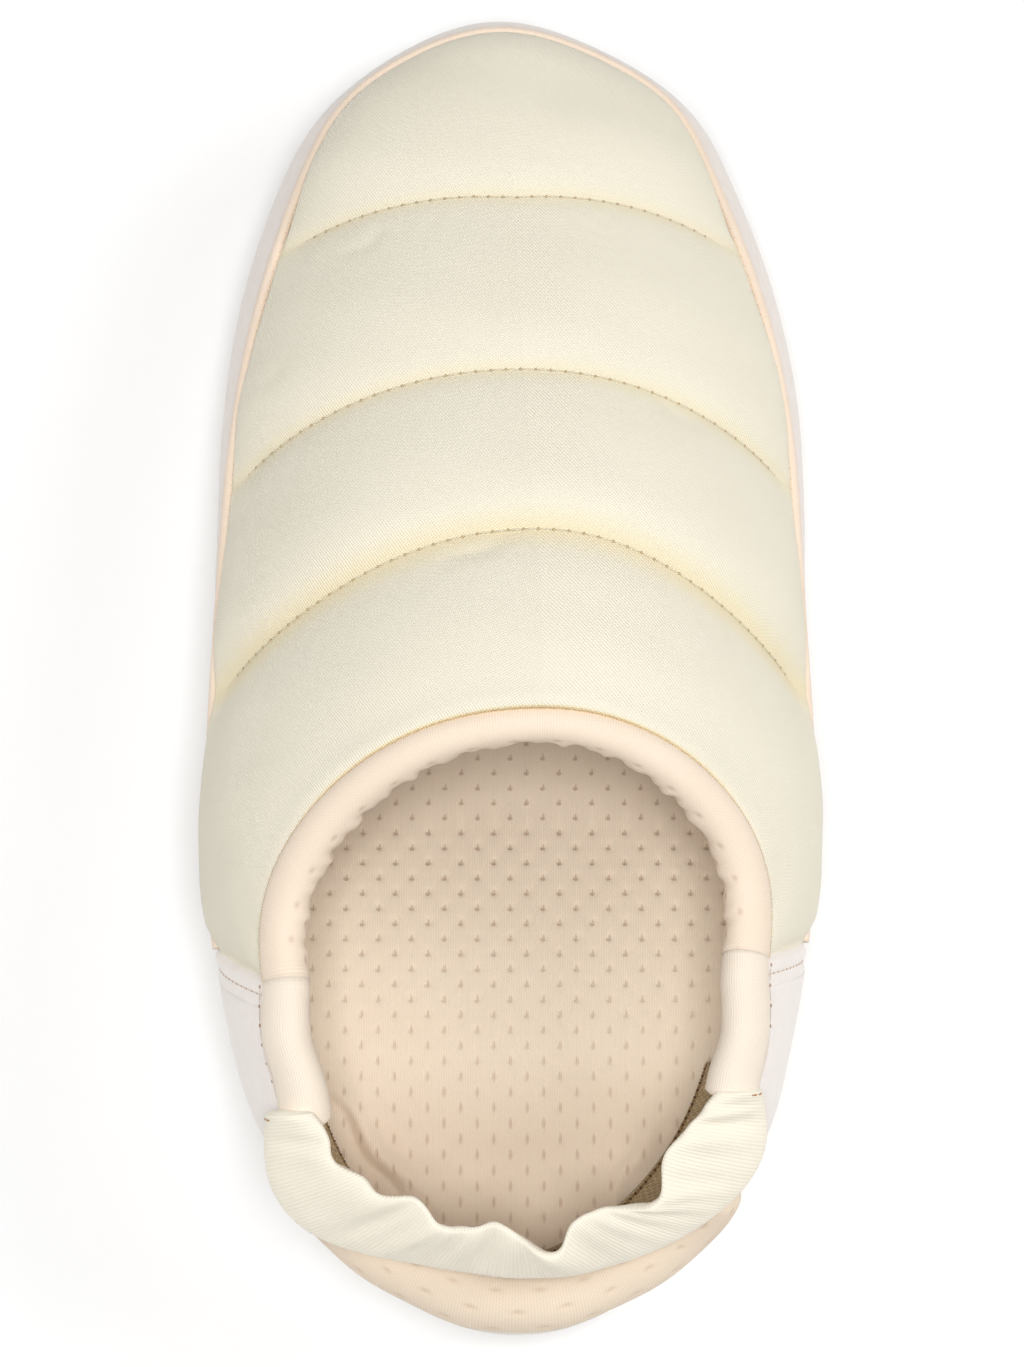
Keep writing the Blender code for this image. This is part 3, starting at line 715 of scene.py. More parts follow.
def vamp_half(s):
    """Angle and phi of one side's columns, from the rear edge to the toe: the first panel starts at the
    binding and the throat, the next two lie between seams, and the last turns round the toe. Rows drop
    a little towards the third seam, so that they leave the level part of the throat at an angle."""
    rows, rear = rear_rows(s)
    share = np.linspace(0, 1, len(rows) - HIDDEN_ROWS)
    ahead = np.concatenate([rows[:HIDDEN_ROWS], 1 + 0.35 * share + 0.65 * share ** 2.4])
    first = graded(0, 1, PANEL)[:, None]
    start = theta_of(SEAMS[0])
    toe = station_of(start + (np.pi - start) * np.linspace(0, 1, PANEL)[1:] ** 1.25)
    later = [graded(SEAMS[2], SEAMS[1], PANEL)[1:], graded(SEAMS[1], SEAMS[0], PANEL)[1:], toe]
    later = np.concatenate(later)[:, None]
    theta = theta_of(np.concatenate([rear + (SEAMS[2] - rear) * first, later + 0 * rows]))
    shares = np.concatenate([rows + (ahead - rows) * first, ahead + 0 * later])
    return theta, row_phi(s, theta, shares)


def over_the_toe(lateral, medial):
    """One grid from the lateral half and the medial half, joined at the toe column that they share."""
    return np.concatenate([lateral, medial[-2::-1]])


def unfolded(points):
    """Place on the flat cloth: each column laid flat from the ridge outwards at its true length, on its
    course in plan, and straight on where the wall is too steep to have one."""
    steps = np.diff(points[:, ::-1], axis=1)
    size = np.linalg.norm(steps, axis=-1, keepdims=True)
    onward = unit(points[:, :1, :2] - points[:, -1:, :2])
    course = unit(steps[..., :2] + 0.6 * size * onward)
    start = points[:, -1:, :2]
    laid = np.concatenate([start, start + np.cumsum(course * size, axis=1)], axis=1)
    return laid[:, ::-1]


# %% Distances on the vamp
def away_from(points, path):
    """Distance from every point of a grid to the nearest point of a path, column by column."""
    return np.stack([np.linalg.norm(column[:, None] - path[None], axis=-1).min(axis=1) for column in points])


def run_together(distances):
    """One distance from several, the inverse cube root of the sum of their inverse cubes: nearly the
    least of them, but with no crease where two are alike."""
    return np.sum([np.maximum(away, 1e-3) ** -3.0 for away in distances], axis=0) ** (-1 / 3)


def away_from_rear(s, points):
    """Distance to the vamp's rear edge: to the binding and to the throat, run together."""
    rise = np.linspace(0, float(by_side(s, JOINT_PHI)), 200)
    turn = theta_of(throat_stations(s, 500))
    binding = away_from(points, form(s, theta_of(rear_station(s, rise)), rise, WALL))
    return run_together([binding, away_from(points, form(s, turn, topline_phi(s, turn), WALL))])


def channel(away, radius):
    """Distance with a bottom rounded to a radius: the thread can't pull the cloth into a knife edge."""
    return np.sqrt(away ** 2 + radius ** 2) - radius


def seam_distances(points):
    """Distance from every point to each of the quilting seams."""
    climb = np.linspace(0, np.pi / 2, 320)
    seams = [np.concatenate([form(s, theta_of(seam), climb, WALL) for s in SIDES]) for seam in SEAMS]
    return [away_from(points, seam) for seam in seams]


# %% Vamp swell
def swell_half(s):
    """Outer face of one half of the vamp, its back and its tint by nearness to a seam: the puff, less
    at every edge, then what fills it out along the rand, the dips of the seams and the creases. The tint
    is painted warm bounce light in the seam valleys and a painted shadow line along the throat."""
    theta, phi = vamp_half(s)
    plain = form(s, theta, phi, WALL)
    station = station_of(theta)
    away = seam_distances(plain)
    nearest = run_together([near * np.where(station > seam, *SEAM_RISE) for seam, near in zip(SEAMS, away)])
    run = away_from_rear(s, plain)
    below = 0.5 - 0.5 * np.tanh((phi - by_side(s, JOINT_PHI)) / 0.14)
    rear = np.maximum(run - BINDING_MARGIN * below * bell(run, 10.0), 0)
    above = away_from(plain, form(s, STEPS, rand_phi(s, STEPS), WALL)) * (phi > rand_phi(s, theta))
    swell = PUFF * dome(channel(nearest, SEAM_ROUND) / PUFF_REACH)
    swell = swell * dome(channel(rear, EDGE_ROUND) / PUFF_REACH)
    swell = swell * dome(channel(np.maximum(above - RAND_MARGIN, 0), EDGE_ROUND) / RAND_REACH)
    climb = lengths(plain, 1)
    pucker = np.sin(2 * np.pi * climb / PUCKER_PITCH + 2 * np.sin(climb / 11.0)) * np.exp(-nearest / 4.0)
    grow = WALL + swell + ramp(swell, 0, PUFF) * (UNEVEN * dents(plain, seed=3) + PUCKER * pucker)
    fill = RAND_FILL + SIDE_FILL * ramp(station, -5.0, -20.0) * ramp(run, 0, 6.0)
    grow = grow + fill * ramp(above, 0.8, 3.0) * bell(above, 8.0)
    grow = grow + RAND_FILL * ramp(above, 0.3, 1.5) * bell(above, 4.0) * bell(nearest, 5.0)
    grow = grow + THROAT_FILL * (1 - below) * bell(run, 3.5)
    grow = grow + creases(plain[..., 0], plain[..., 1], VAMP_CREASES)
    tint = THROAT_SHADOW_TINT[0] * bell(run, THROAT_SHADOW_TINT[1])
    for i, seam in enumerate(SEAMS):
        valley = np.where(station > seam, *SEAM_VALLEY[i])
        grow = grow - SEAM_DIP[i] * ramp(above, 0, 8.0) * bell(away[i], valley)
        tint = np.maximum(tint, SEAM_TINT[i][0] * bell(away[i], SEAM_TINT[i][1]))
    return form(s, theta, phi, grow), form(s, theta, phi, SHELL_BACK), tint


# %% Vamp piece
halves = [swell_half(s) for s in SIDES]
vamp_outer, vamp_back, near_seam = [over_the_toe(*pair) for pair in zip(*halves)]
ridge = vamp_outer.shape[1]
keep = np.ones((len(vamp_outer) + 1, 2 * ridge), bool)
keep[:, ridge - 1] = False
vamp = make_sheet("vamp", vamp_outer, vamp_back, unfolded(vamp_outer), near_seam, keep)

# %% [markdown]
# The vamp's cloth is a fine cotton twill: yarns pass over two and under one, which draws close
# diagonal ribs about half a millimetre apart. The valley at a seam looks warmer, because light
# bounces between its two walls and the thread there is a darker tan. A Wave texture could draw
# the ribs, but two sines on the flat cloth give the rib and the beat of the single yarns.


# %% Twill finish
def twill_finish():
    """Cream twill: diagonal ribs times yarns, with painted warm bounce light towards the seams and a painted
    brown shadow line along the throat.
    """
    cloth = Finish("quilt_twill", roughness=0.86, sheen=0.1)
    along, across = cloth.cloth()
    rib = (along * 0.8 + across * 0.6).wave(0.52)
    yarn = (across * 0.8 - along * 0.6).wave(0.44)
    weave = rib * 0.65 + rib * yarn * 0.35
    cloudy = (cloth.noise(26.0) * 0.7 + cloth.noise(0.9) * 0.3).clamp()
    ground = cloth.blend(cloudy, paint(245, 238, 218), paint(251, 245, 228))
    ground = cloth.blend((weave * -0.5 + 0.2).clamp(), ground, paint(233, 224, 201))
    # painted warm bounce light in the seam valleys
    ground = cloth.blend(cloth.seam().clamp(), ground, paint(243, 228, 188))
    # painted shadow of the gap under the collar along the throat, with the throat's slight brown edge
    colour = cloth.blend((cloth.seam() - 1.0).clamp(), ground, paint(160, 128, 92))
    return cloth.finish(colour, weave, 0.08)


dress(vamp, twill_finish(), nodes=("upper",))

# %% [markdown]
# Stitches are short lengths of thread, each pulled down into the needle hole at its ends, and the
# hole shows as a small brown dot. One stitch is a tapered tube of a few faces. Copies of it are
# laid at even distances along a path, all in one array, and sunk into the cloth. A curve with a
# bevel could draw the thread as one line, but then the single stitches and the dots would be lost.

# %% Stitches along a path
STITCH_PITCH = 2.9
THREAD = 0.2
DOT = 0.32


def resampled(path, pitch):
    """A function that reads values along a path at even distances, half a pitch in from its ends."""
    run = lengths(path, 0)
    count = max(int(run[-1] // pitch), 1)
    at = (np.arange(count) + 0.5) * run[-1] / count

    def read(values):
        return np.stack([np.interp(at, run, values[:, c]) for c in range(3)], -1)

    return read


def tubes(centre, along, outward, length, radius, flat, taper):
    """Copies of one small closed tube: its radius falls to nothing at both ends by the power taper."""
    t = np.linspace(-1, 1, 5)
    turns = np.arange(6) * np.pi / 3
    along = unit(along)
    outward = unit(outward - along * (outward * along).sum(-1, keepdims=True))
    across = np.cross(along, outward)
    size = radius * (1 - np.abs(t) ** taper)
    ring = np.cos(turns)[:, None, None] * across + flat * np.sin(turns)[:, None, None] * outward
    body = centre + 0.5 * length * t[:, None, None, None] * along + size[:, None, None, None] * ring
    return np.moveaxis(body, 2, 0)


def stitch_copies(path, outward, pitch=STITCH_PITCH, lift=0.0, dot=DOT, thread=THREAD):
    """Stitches along a path and the needle holes between them, as two stacks of small grids."""
    read = resampled(path, pitch)
    normal = unit(read(outward))
    along = unit(read(np.gradient(path, axis=0)))
    centre = read(path) + normal * lift
    threads = tubes(centre, along, normal, 0.8 * pitch, thread, flat=0.8, taper=3.0)
    holes = tubes(centre + along * pitch / 2, along, normal, 2.2 * dot, dot, flat=0.45, taper=2.0)
    return threads, holes


def sew(name, runs, finish):
    """One dressed piece from several runs of stitches; the seam value tells holes, 1, from thread, 0."""
    stacks = [stack for run in runs for stack in run]
    copies = np.concatenate(stacks)
    hole = np.concatenate([np.full(stack.shape[:3], float(i % 2)) for i, stack in enumerate(stacks)])
    dress(make_piece(name, copies, copies[..., :2], seam=hole), finish)


def stitch_finish(name, thread, hole):
    """Twisted thread with darker needle holes."""
    cloth = Finish(name, roughness=0.75)
    x, y, z = cloth.place()
    twist = (x + y * 1.3 + z * 0.7).wave(0.35)
    ground = cloth.blend((twist * 0.5 + 0.5).clamp(), thread, darker(thread, 0.86))
    return cloth.finish(cloth.blend(cloth.seam(), ground, hole), twist, 0.03)


def seam_path(seam, dip):
    """Path of a quilting seam over the vamp, from rand to rand, and its outward direction."""
    angle = float(theta_of(seam))
    climb_share = np.linspace(0.0, 1.0, 160)
    halves = []
    for s in SIDES:
        start = float(rand_phi(s, angle)) + 0.06
        rise = start + (np.pi / 2 - start) * climb_share
        points = form(s, angle, rise, WALL - dip)
        halves.append((points, form(s, angle, rise, WALL + 2.0) - points))
    return [over_the_toe(a, b) for a, b in zip(*halves)]


quilting = [stitch_copies(*seam_path(seam, dip), lift=0.25) for seam, dip in zip(SEAMS, SEAM_DIP)]
cream_thread = stitch_finish("cream_thread", paint(240, 230, 204), paint(204, 184, 148))
sew("quilting_stitches", quilting, cream_thread)

# %% [markdown]
# Inside, the wall is lined with a beige spacer mesh, the same knit as the footbed. It is the inner
# face of the last with a thin back, cut off along the same top edge as the upper. It could be left
# to the upper's own inner face, but a lining is another cloth with another colour and pattern.

# %% Knitted mesh finish
MARK_PITCH = 6.6
MARK_ROW = 3.15


def mesh_marks(x, y, tall, wide, dots, strokes):
    """Marks of the spacer mesh in staggered rows: a soft dark dot and a fainter upright stroke above it."""
    row = (y / MARK_ROW).math("FLOOR")
    shift = (row * 0.5).math("FRACT")
    left = ((x / MARK_PITCH + shift).math("FRACT") - 0.5) * MARK_PITCH
    up = ((y / MARK_ROW).math("FRACT") - 0.5) * MARK_ROW
    stroke = (left / wide).math("POWER", 2.0) + (up / tall).math("POWER", 2.0)
    dot = ((left + 0.12) / 0.62).math("POWER", 2.0) + ((up + 0.45) / 0.5).math("POWER", 2.0)
    stroke = (stroke * -1.0 + 1.0).clamp() * strokes
    return stroke.math("MAXIMUM", (dot * -1.0 + 1.0).clamp() * dots)


def mesh_finish(name, pale, deep, mark_and_shade, marks, ribs, strength, depth=0.16):
    """Spacer mesh: fine knitted ribs, cloudy colour and darker marks; what the caller's marks give may also
    hold painted shade.
    """
    cloth = Finish(name, roughness=0.9, sheen=0.08)
    along, across = cloth.cloth()
    rib = along.wave(ribs) * 0.6 + across.wave(ribs * 1.7) * along.wave(ribs * 2) * 0.4
    ground = cloth.blend((cloth.noise(14.0) * 0.75 + cloth.noise(0.7) * 0.25).clamp(), deep, pale)
    ground = cloth.blend((rib * -0.2 + 0.04).clamp(), ground, mark_and_shade)
    marks_and_shade = marks(cloth, along, across)
    colour = cloth.blend((marks_and_shade * strength).clamp(), ground, mark_and_shade)
    return cloth.finish(colour, rib * 0.25 - marks_and_shade, depth)


# %% Lining piece
LINING = 1.0


def lining_half(s, rise):
    """Angle and phi of one side's columns from heel to toe, up to the wall's top edge."""
    heel = station_of(np.linspace(0, theta_of(by_side(s, JOINT)), 60))[:-1]
    front = station_of(np.linspace(theta_of(THROAT), np.pi, 90)[1:])
    theta = theta_of(np.concatenate([heel, throat_stations(s, 50), front]))[:, None]
    return theta, topline_phi(s, theta) * rise


lining_rise = np.linspace(0.02, 1, 40)
faces, backs, open_top = [], [], []
for s in SIDES:
    theta, phi = lining_half(s, lining_rise)
    uneven = 0.2 + 0.25 * dents(form(s, theta, phi, 0.0), seed=5, short=12, long=30)
    faces.append(form(s, theta, phi, uneven))
    backs.append(form(s, theta, phi, LINING))
    open_top.append(station_of(theta)[:, 0] <= THROAT + 1e-6)
lining_face, lining_back, lining_open = [over_the_toe(*pair) for pair in (faces, backs, open_top)]
lining_keep = np.ones((len(lining_face) - 1, 2 * len(lining_rise)), bool)
lining_keep[:, len(lining_rise) - 1] = lining_open[:-1] & lining_open[1:]
laid = unfolded(lining_face)
lining = make_piece("lining", two_faced(lining_back, lining_face), two_faced(laid, laid), keep=lining_keep)
lining_finish = mesh_finish(
    "lining_mesh", paint(240, 223, 205), paint(230, 210, 189), paint(176, 142, 112),
    lambda cloth, along, across: mesh_marks(along, across, tall=0.8, wide=0.3, dots=0.6, strokes=0.6),
    ribs=0.42, strength=0.6,
)
dress(lining, lining_finish, nodes=("upper",))

# %% [markdown]
# The footbed is a padded sheet of the same mesh. It is dished along the middle, turned up at its
# edge, and a little wrinkled beside the heel on the medial side, where it was pushed into the shoe.
# The marks of the mesh are real dimples in the grid as well as darker spots in the finish; the spots are
#  partly the mesh's own marks and partly painted shade in the dimples. Bump alone could show them, but real
#  hollows also change the light at a low angle. Under the throat they are short and dark; towards the heel
#  they stretch into long pale strokes. The finish also paints shade under the throat and at the seat of the
#  heel.

# %% Sizes of the footbed
INSOLE = 4.4
DISH = 1.4
BED_END = 131.0
# the vamp covers the footbed from here on
BED_HIDDEN = -36.0
# where the marks start to lengthen, and the run over which they do
MARK_CHANGE = (-50.0, -45.0)

# Wrinkles: x and y of one end, x and y of the other end, height and half width
WRINKLES = (
    (-38.0, -88.0, -14.0, -116.0, 1.5, 2.2),
    (-36.5, -92.0, -22.0, -113.0, -1.2, 1.3),
    (-27.0, -94.0, -11.0, -113.0, 0.7, 2.4),
    (28.0, -98.0, 17.0, -117.0, 0.9, 1.8),
    (33.0, -88.0, 22.0, -108.0, 0.5, 2.0),
)


def dimple_depth(along, across, tall, wide, pitch=MARK_PITCH, row=MARK_ROW):
    """Dimples in staggered rows: 1 in the middle of each, falling as a bell curve to 0 between them."""
    line = np.floor(across / row)
    left = ((along / pitch + 0.5 * (line % 2)) % 1 - 0.5) * pitch
    up = ((across / row) % 1 - 0.5) * row
    return bell(left, wide) * bell(up, tall)


# %% Footbed piece
open_part = np.linspace(theta_of(-BED_END), theta_of(BED_HIDDEN), 215)
covered = np.linspace(theta_of(BED_HIDDEN), theta_of(BED_END), 50)[1:]
bed_theta = np.concatenate([open_part, covered])[:, None]
bed_seat = feather_height(station_of(bed_theta))
# the edge on each side, above and below, and straight rows from one side to the other
lips = {s: form(s, bed_theta, phi_at_height(s, bed_theta, bed_seat + INSOLE), -2.4) for s in SIDES}
feet = {s: form(s, bed_theta, 0.0, -1.0) for s in SIDES}
across = np.linspace(-1, 1, 200)[None, :, None]
bed_top = lips[-1.0] * (1 - across) / 2 + lips[1.0] * (1 + across) / 2
edge_rise = ramp(np.abs(across[..., 0]), 0.68, 0.32) ** 2
x, y = bed_top[..., 0], bed_top[..., 1]
heelward = ramp(y, *MARK_CHANGE)
dimples = dimple_depth(x + SHIFT[0], y + SHIFT[1], tall=0.8, wide=0.75 - 0.3 * heelward)
dimples = dimples * (0.6 - 0.42 * heelward)
bed_top[..., 2] = bed_seat + INSOLE - DISH * (1 - edge_rise) - dimples + creases(x, y, WRINKLES)
under = np.linspace(-1, 1, 12)[None, :, None]
bed_under = feet[-1.0] * (1 - under) / 2 + feet[1.0] * (1 + under) / 2
bed_under[..., 2] = bed_seat
footbed_rings = two_faced(bed_top, bed_under)
middles = footbed_rings[[0, -1]].mean(axis=1, keepdims=True) + np.zeros_like(footbed_rings[[0, -1]])
footbed_rings = np.concatenate([middles[:1], footbed_rings, middles[1:]])
footbed = make_piece("footbed", footbed_rings, footbed_rings[..., :2])


# %% Footbed finish
def footbed_marks_and_shade(cloth, along, across):
    """Marks by the place on the shoe: dots under the throat, partly painted shade in the dimples, long pale
    strokes towards the heel, and painted shade under the throat, below the vamp, and at the seat of the heel,
    below the sling."""
    x, y, _ = cloth.place()
    heelward = ((y - MARK_CHANGE[0]) / MARK_CHANGE[1]).clamp()
    # painted shade: darker at the seat of the heel, below the sling, and under the throat, below the vamp
    seat = ((y + 82.0) / -18.0).clamp()
    shade = ((y + 66.0) / 30.0).clamp()
    tall, wide = heelward * 0.75 + 0.65, heelward * 0.16 + 0.26
    # the dots are the mesh's own marks and, strongest under the throat, painted shade in its dimples
    marks = mesh_marks(x, y, tall, wide, heelward * -0.8 + 0.9, heelward * -0.2 + 0.7)
    return marks + seat * 0.42 + shade * 0.2


footbed_finish = mesh_finish(
    "footbed_mesh", paint(255, 242, 222), paint(249, 234, 212), paint(166, 128, 100),
    footbed_marks_and_shade, ribs=0.34, strength=0.6,
)
dress(footbed, footbed_finish, nodes=("insole",))

# %% [markdown]
# A rand, a strip of smooth brushed synthetic suede, guards the toe and the sides just above the
# sole. It is a sheet on the wall with a rounded top edge. Its columns run from the bindings to the
# toe, and its two ends lean with the bindings. A strip of the wall's own faces could be pushed out,
# but its edge would follow the wall's rows. A piping, a narrow folded strip, covers the top edge.

# %% Rand
RAND = 1.5


def rand_grid(columns, shares):
    """Side, angle and phi of the rand's columns from one binding round the toe to the other."""
    run = np.linspace(0, 1, columns)[:, None]
    halves = []
    for s in SIDES:
        theta = theta_of(BINDING_FOOT) + (np.pi - theta_of(BINDING_FOOT)) * run + 0 * shares
        for _ in range(3):
            phi = rand_phi(s, theta) * shares
            rear = theta_of(rear_station(s, phi) + 0.5)
            theta = rear + (np.pi - rear) * run
        halves.append((np.full_like(theta, s), theta, rand_phi(s, theta) * shares))
    return [over_the_toe(*pair) for pair in zip(*halves)]


shares = graded(0, 1, 22)[None, :]
rand_side, rand_theta, rand_angle = rand_grid(260, shares)
rand_wall = form(rand_side, rand_theta, rand_angle, WALL + GAP)
from_edge = lengths(rand_wall[:, ::-1], 1)[:, ::-1]
rand_thick = RAND * (0.25 + 0.75 * dome(from_edge / 1.6)) + 0.12 * dents(rand_wall, seed=8, short=20, long=50)
rand_outer = form(rand_side, rand_theta, rand_angle, WALL + GAP + rand_thick)
rand = make_sheet("rand_panel", rand_outer, rand_wall)


def suede_finish(name, pale, deep, seam_colour):
    """Brushed synthetic suede: cloudy nap in two sizes, a trace of grain."""
    cloth = Finish(name, roughness=0.8, sheen=0.25, specular=0.35)
    nap = (cloth.noise(3.0, detail=4.0) * 0.6 + cloth.noise(0.35, detail=3.0) * 0.4).clamp()
    ground = cloth.blend(((nap - 0.3) * 2.2).clamp(), deep, pale)
    colour = cloth.blend((cloth.seam() * 0.6).clamp(), ground, seam_colour)
    return cloth.finish(colour, nap, 0.05)


rand_finish = suede_finish("rand_suede", paint(243, 234, 226), paint(233, 222, 213), paint(205, 180, 160))
dress(rand, rand_finish, nodes=("rand",))

# %% Piping and its stitches
PIPING_RADIUS = 1.1
top_side, top_theta, top_phi = [v[:, -1] for v in rand_grid(420, np.array([[0.0, 1.0]]))]
reach = WALL + 2 * GAP + PIPING_RADIUS
edge = form(top_side, top_theta, top_phi, reach)
pipe_out, pipe_up = path_frame(edge, form(top_side, top_theta, top_phi, reach + 5.0) - edge)
pipe_middle = edge + pipe_up * (PIPING_RADIUS + 0.1) - pipe_out * 0.25
turns = (np.arange(14) * 2 * np.pi / 14)[None, :, None]
pipe_round = np.cos(turns) * pipe_out[:, None] + 1.05 * np.sin(turns) * pipe_up[:, None]
pipe_rings = edged(pipe_middle[:, None] + PIPING_RADIUS * pipe_round)
pipe_rings[0], pipe_rings[-1] = pipe_middle[0], pipe_middle[-1]
piping = make_piece("rand_piping_cord", pipe_rings, strip_cloth(pipe_rings, ring=True))


def ribbed_finish(name, pale, deep, rib, depth):
    """Ribbed cloth: ribs across the strip, crossed by finer yarns."""
    cloth = Finish(name, roughness=0.82, sheen=0.12)
    along, across = cloth.cloth()
    ribs = along.wave(rib) * 0.7 + across.wave(rib * 0.8) * along.wave(rib) * 0.3
    ground = cloth.blend((cloth.noise(9.0) * 0.7 + cloth.noise(0.6) * 0.3).clamp(), deep, pale)
    ground = cloth.blend((ribs * -0.3 + 0.08).clamp(), ground, darker(deep, 0.84))
    colour = cloth.blend((cloth.seam() * 0.7).clamp(), ground, darker(deep, 0.7))
    return cloth.finish(colour, ribs, depth)


piping_finish = ribbed_finish(
    "piping_cloth", paint(248, 231, 213), paint(240, 219, 198), rib=0.42, depth=0.03,
)
dress(piping, piping_finish, nodes=("rand_piping",))
stitch_line = pipe_middle + pipe_up * (PIPING_RADIUS * 0.86) - pipe_out * 0.1
piping_run = stitch_copies(stitch_line, pipe_up + pipe_out, pitch=2.2, lift=0.1, dot=0.2, thread=0.14)
peach_thread = stitch_finish("peach_thread", paint(238, 214, 188), paint(170, 134, 100))
sew("piping_stitches", [piping_run], peach_thread)

# %% [markdown]
# The quarter is the smooth rear panel, one sheet from binding to binding round the heel. A binding,
# a strip folded twice, covers the joint between it and the vamp on each side and slants back up to
# the collar. Both are smooth brushed synthetic with a trace of grain. The binding's two folds are two
# ridges in its cross section, and a row of stitches runs behind each. Bump could draw the folds, but
# from the side they stand out against the wall, so they have real height.

# %% Quarter
QUARTER = 1.2
QUARTER_FACE = WALL + 0.5 + QUARTER
rise = np.linspace(0, 1, 26)[None, :]
quarter_side, run = [values[:, None] for values in round_the_heel(1.0, 110)]
quarter_theta = theta_of(BINDING_FOOT - 8.0) * run + 0 * rise
for _ in range(4):
    quarter_phi = 0.985 * topline_phi(quarter_side, quarter_theta) * rise
    quarter_theta = theta_of(rear_station(quarter_side, quarter_phi) - BINDING_WIDTH + 1.2) * run
quarter_wall = form(quarter_side, quarter_theta, quarter_phi, WALL + 0.4)
relief = 0.3 * dents(quarter_wall, seed=11, short=22, long=60)
quarter_outer = form(quarter_side, quarter_theta, quarter_phi, QUARTER_FACE + relief)
quarter_top = bell(lengths(quarter_outer[:, ::-1], 1)[:, ::-1], 0.7)
quarter = make_sheet("quarter_panel", quarter_outer, quarter_wall, seam=quarter_top)
quarter_finish = suede_finish(
    "quarter_synthetic", paint(247, 240, 234), paint(240, 231, 224), paint(196, 168, 146),
)
dress(quarter, quarter_finish, nodes=("quarter",))

# %% Bindings
BINDING = 1.9


def binding_surface(s, back, climb):
    """Point on a binding: back runs over its width from the vamp to the quarter, climb up its length."""
    back, climb = np.broadcast_arrays(back, climb)
    phi = 0.97 * by_side(s, JOINT_PHI) * climb
    theta = theta_of(rear_station(s, phi) + 0.8 - back * (BINDING_WIDTH + 0.8))
    ridges = np.abs(np.sin(2 * np.pi * np.clip(back, 0, 1))) ** 0.7
    thick = (BINDING - 0.4) * dome(np.minimum(back, 1 - back) * 5) * (0.62 + 0.38 * ridges)
    return form(s, theta, phi, WALL + 0.3 + thick)


binding_runs = []
for s, name in ((1.0, "binding_lateral"), (-1.0, "binding_medial")):
    climb = np.linspace(0, 1, 70)[:, None]
    outer = binding_surface(s, np.linspace(0, 1, 36)[None, :], climb)
    inward = form(s, theta_of(-70.0), 0.3, 0.0) - form(s, theta_of(-70.0), 0.3, 1.0)
    piece = make_sheet(name + "_strip", outer, outer + 1.1 * inward)
    dress(piece, quarter_finish, nodes=(name,))
    for back in (0.5, 0.93):
        line = binding_surface(s, back, np.linspace(0.02, 0.98, 80))
        outward = unit(line * np.array([1.0, 0.0, 0.2]))
        binding_runs.append(stitch_copies(line, outward, pitch=2.6, lift=0.1, dot=0.3, thread=0.18))
pale_thread = stitch_finish("pale_thread", paint(236, 220, 204), paint(186, 156, 130))
sew("binding_stitches", binding_runs, pale_thread)

# %% [markdown]
# The collar is a foam roll round the opening. Its front, round the throat, is covered with the
# dimpled mesh and looks a little lumpy inside, where the cover is gathered; its two rear lengths
# are covered with a fine rib knit. The heel has a low lip of the same mesh. Each is an ellipse
# carried along the wall's top edge and pushed in at the dimples; the collar is one such path, cut
# in three. A curve with a bevel would give the plain tube, but not the lumps and dimples.

# %% Padded rolls
# place: -1 rear end, 0 joint, 1 middle of the throat; then half width, half height, lean to the outside
COLLAR_ROLL = (
    (-1.0, 4.6, 5.2, 1.0),
    (0.0, 4.3, 4.8, 1.0),
    (0.5, 4.0, 3.9, 0.0),
    (1.0, 3.8, 3.4, -1.2),
)
RIM_ROLL = ((-1.0, 6.2, 6.0, 0.0), (1.0, 6.2, 6.0, 0.0))
EDGE_ROLL = ((-1.0, 2.9, 1.6, 0.95), (1.0, 2.9, 1.6, 0.95))
COLLAR_END = (-92.5, -94.7)
RIM_END = -105.5
# distance between the mesh's dimples along a roll
COLLAR_PITCH = 8.4
ROUND = 96
TURN = np.linspace(0, 2 * np.pi, ROUND, endpoint=False)[None, :]


def roll_shape(side, theta, table):
    """Half width, half height and lean of a roll at each angle, from its table by the place on the edge."""
    station = station_of(theta)
    joint, end = by_side(side, JOINT), by_side(side, COLLAR_END)
    place = 1 - throat_share(side, station) - np.clip((joint - station) / (joint - end), 0, 1)
    return [natural_spline(table, c)(place)[:, None] for c in (1, 2, 3)]


def roll(side, theta, table, sink):
    """Middle line, outward and upward directions of a padded roll on the wall's top edge, sunk by sink."""
    _, half_up, lean = roll_shape(side, theta, table)
    top = topline_phi(side, theta)
    edge = form(side, theta, top, WALL / 2)
    outward, up = path_frame(edge, form(side, theta, top, WALL) - form(side, theta, top, 0.0))
    return edge + up * (half_up - sink) + outward * lean, outward, up


def swept(middle, outward, up, half_across, half_up, push):
    """Rings of an ellipse carried along a middle line; push is added to its radius."""
    across = ((half_across + push) * np.cos(TURN))[..., None] * outward[:, None]
    return middle[:, None] + across + ((half_up + push) * np.sin(TURN))[..., None] * up[:, None]


def round_ends(rings, reach):
    """Draw the first and last few mm of a roll in to a point along a quarter circle."""
    run = lengths(rings.mean(axis=1), 0)
    share = dome(np.minimum(run, run[-1] - run) / reach)
    middle = rings.mean(axis=1, keepdims=True)
    return middle + (rings - middle) * share[:, None, None]


# %% Front collar
REAR_COLUMNS = 90
walks = []
for s in SIDES:
    rear = np.linspace(by_side(s, COLLAR_END) - 3.5, by_side(s, JOINT), REAR_COLUMNS)[:-1]
    walks.append(np.concatenate([rear, throat_stations(s, 230)]))
collar_theta = theta_of(over_the_toe(*walks))
collar_side = over_the_toe(*[np.full(len(walks[0]), s) for s in SIDES])
collar_line = roll(collar_side, collar_theta, COLLAR_ROLL, sink=0.8)
collar_halves = roll_shape(collar_side, collar_theta, COLLAR_ROLL)[:2]


def collar_length(columns, push):
    """Rings of one length of the collar, with rounded ends; push is added to its radius."""
    line = [part[columns] for part in collar_line]
    return round_ends(swept(*line, *[half[columns] for half in collar_halves], push), reach=0.8)


front = slice(REAR_COLUMNS - 2, 2 - REAR_COLUMNS)
run = lengths(collar_line[0][front], 0)[:, None]
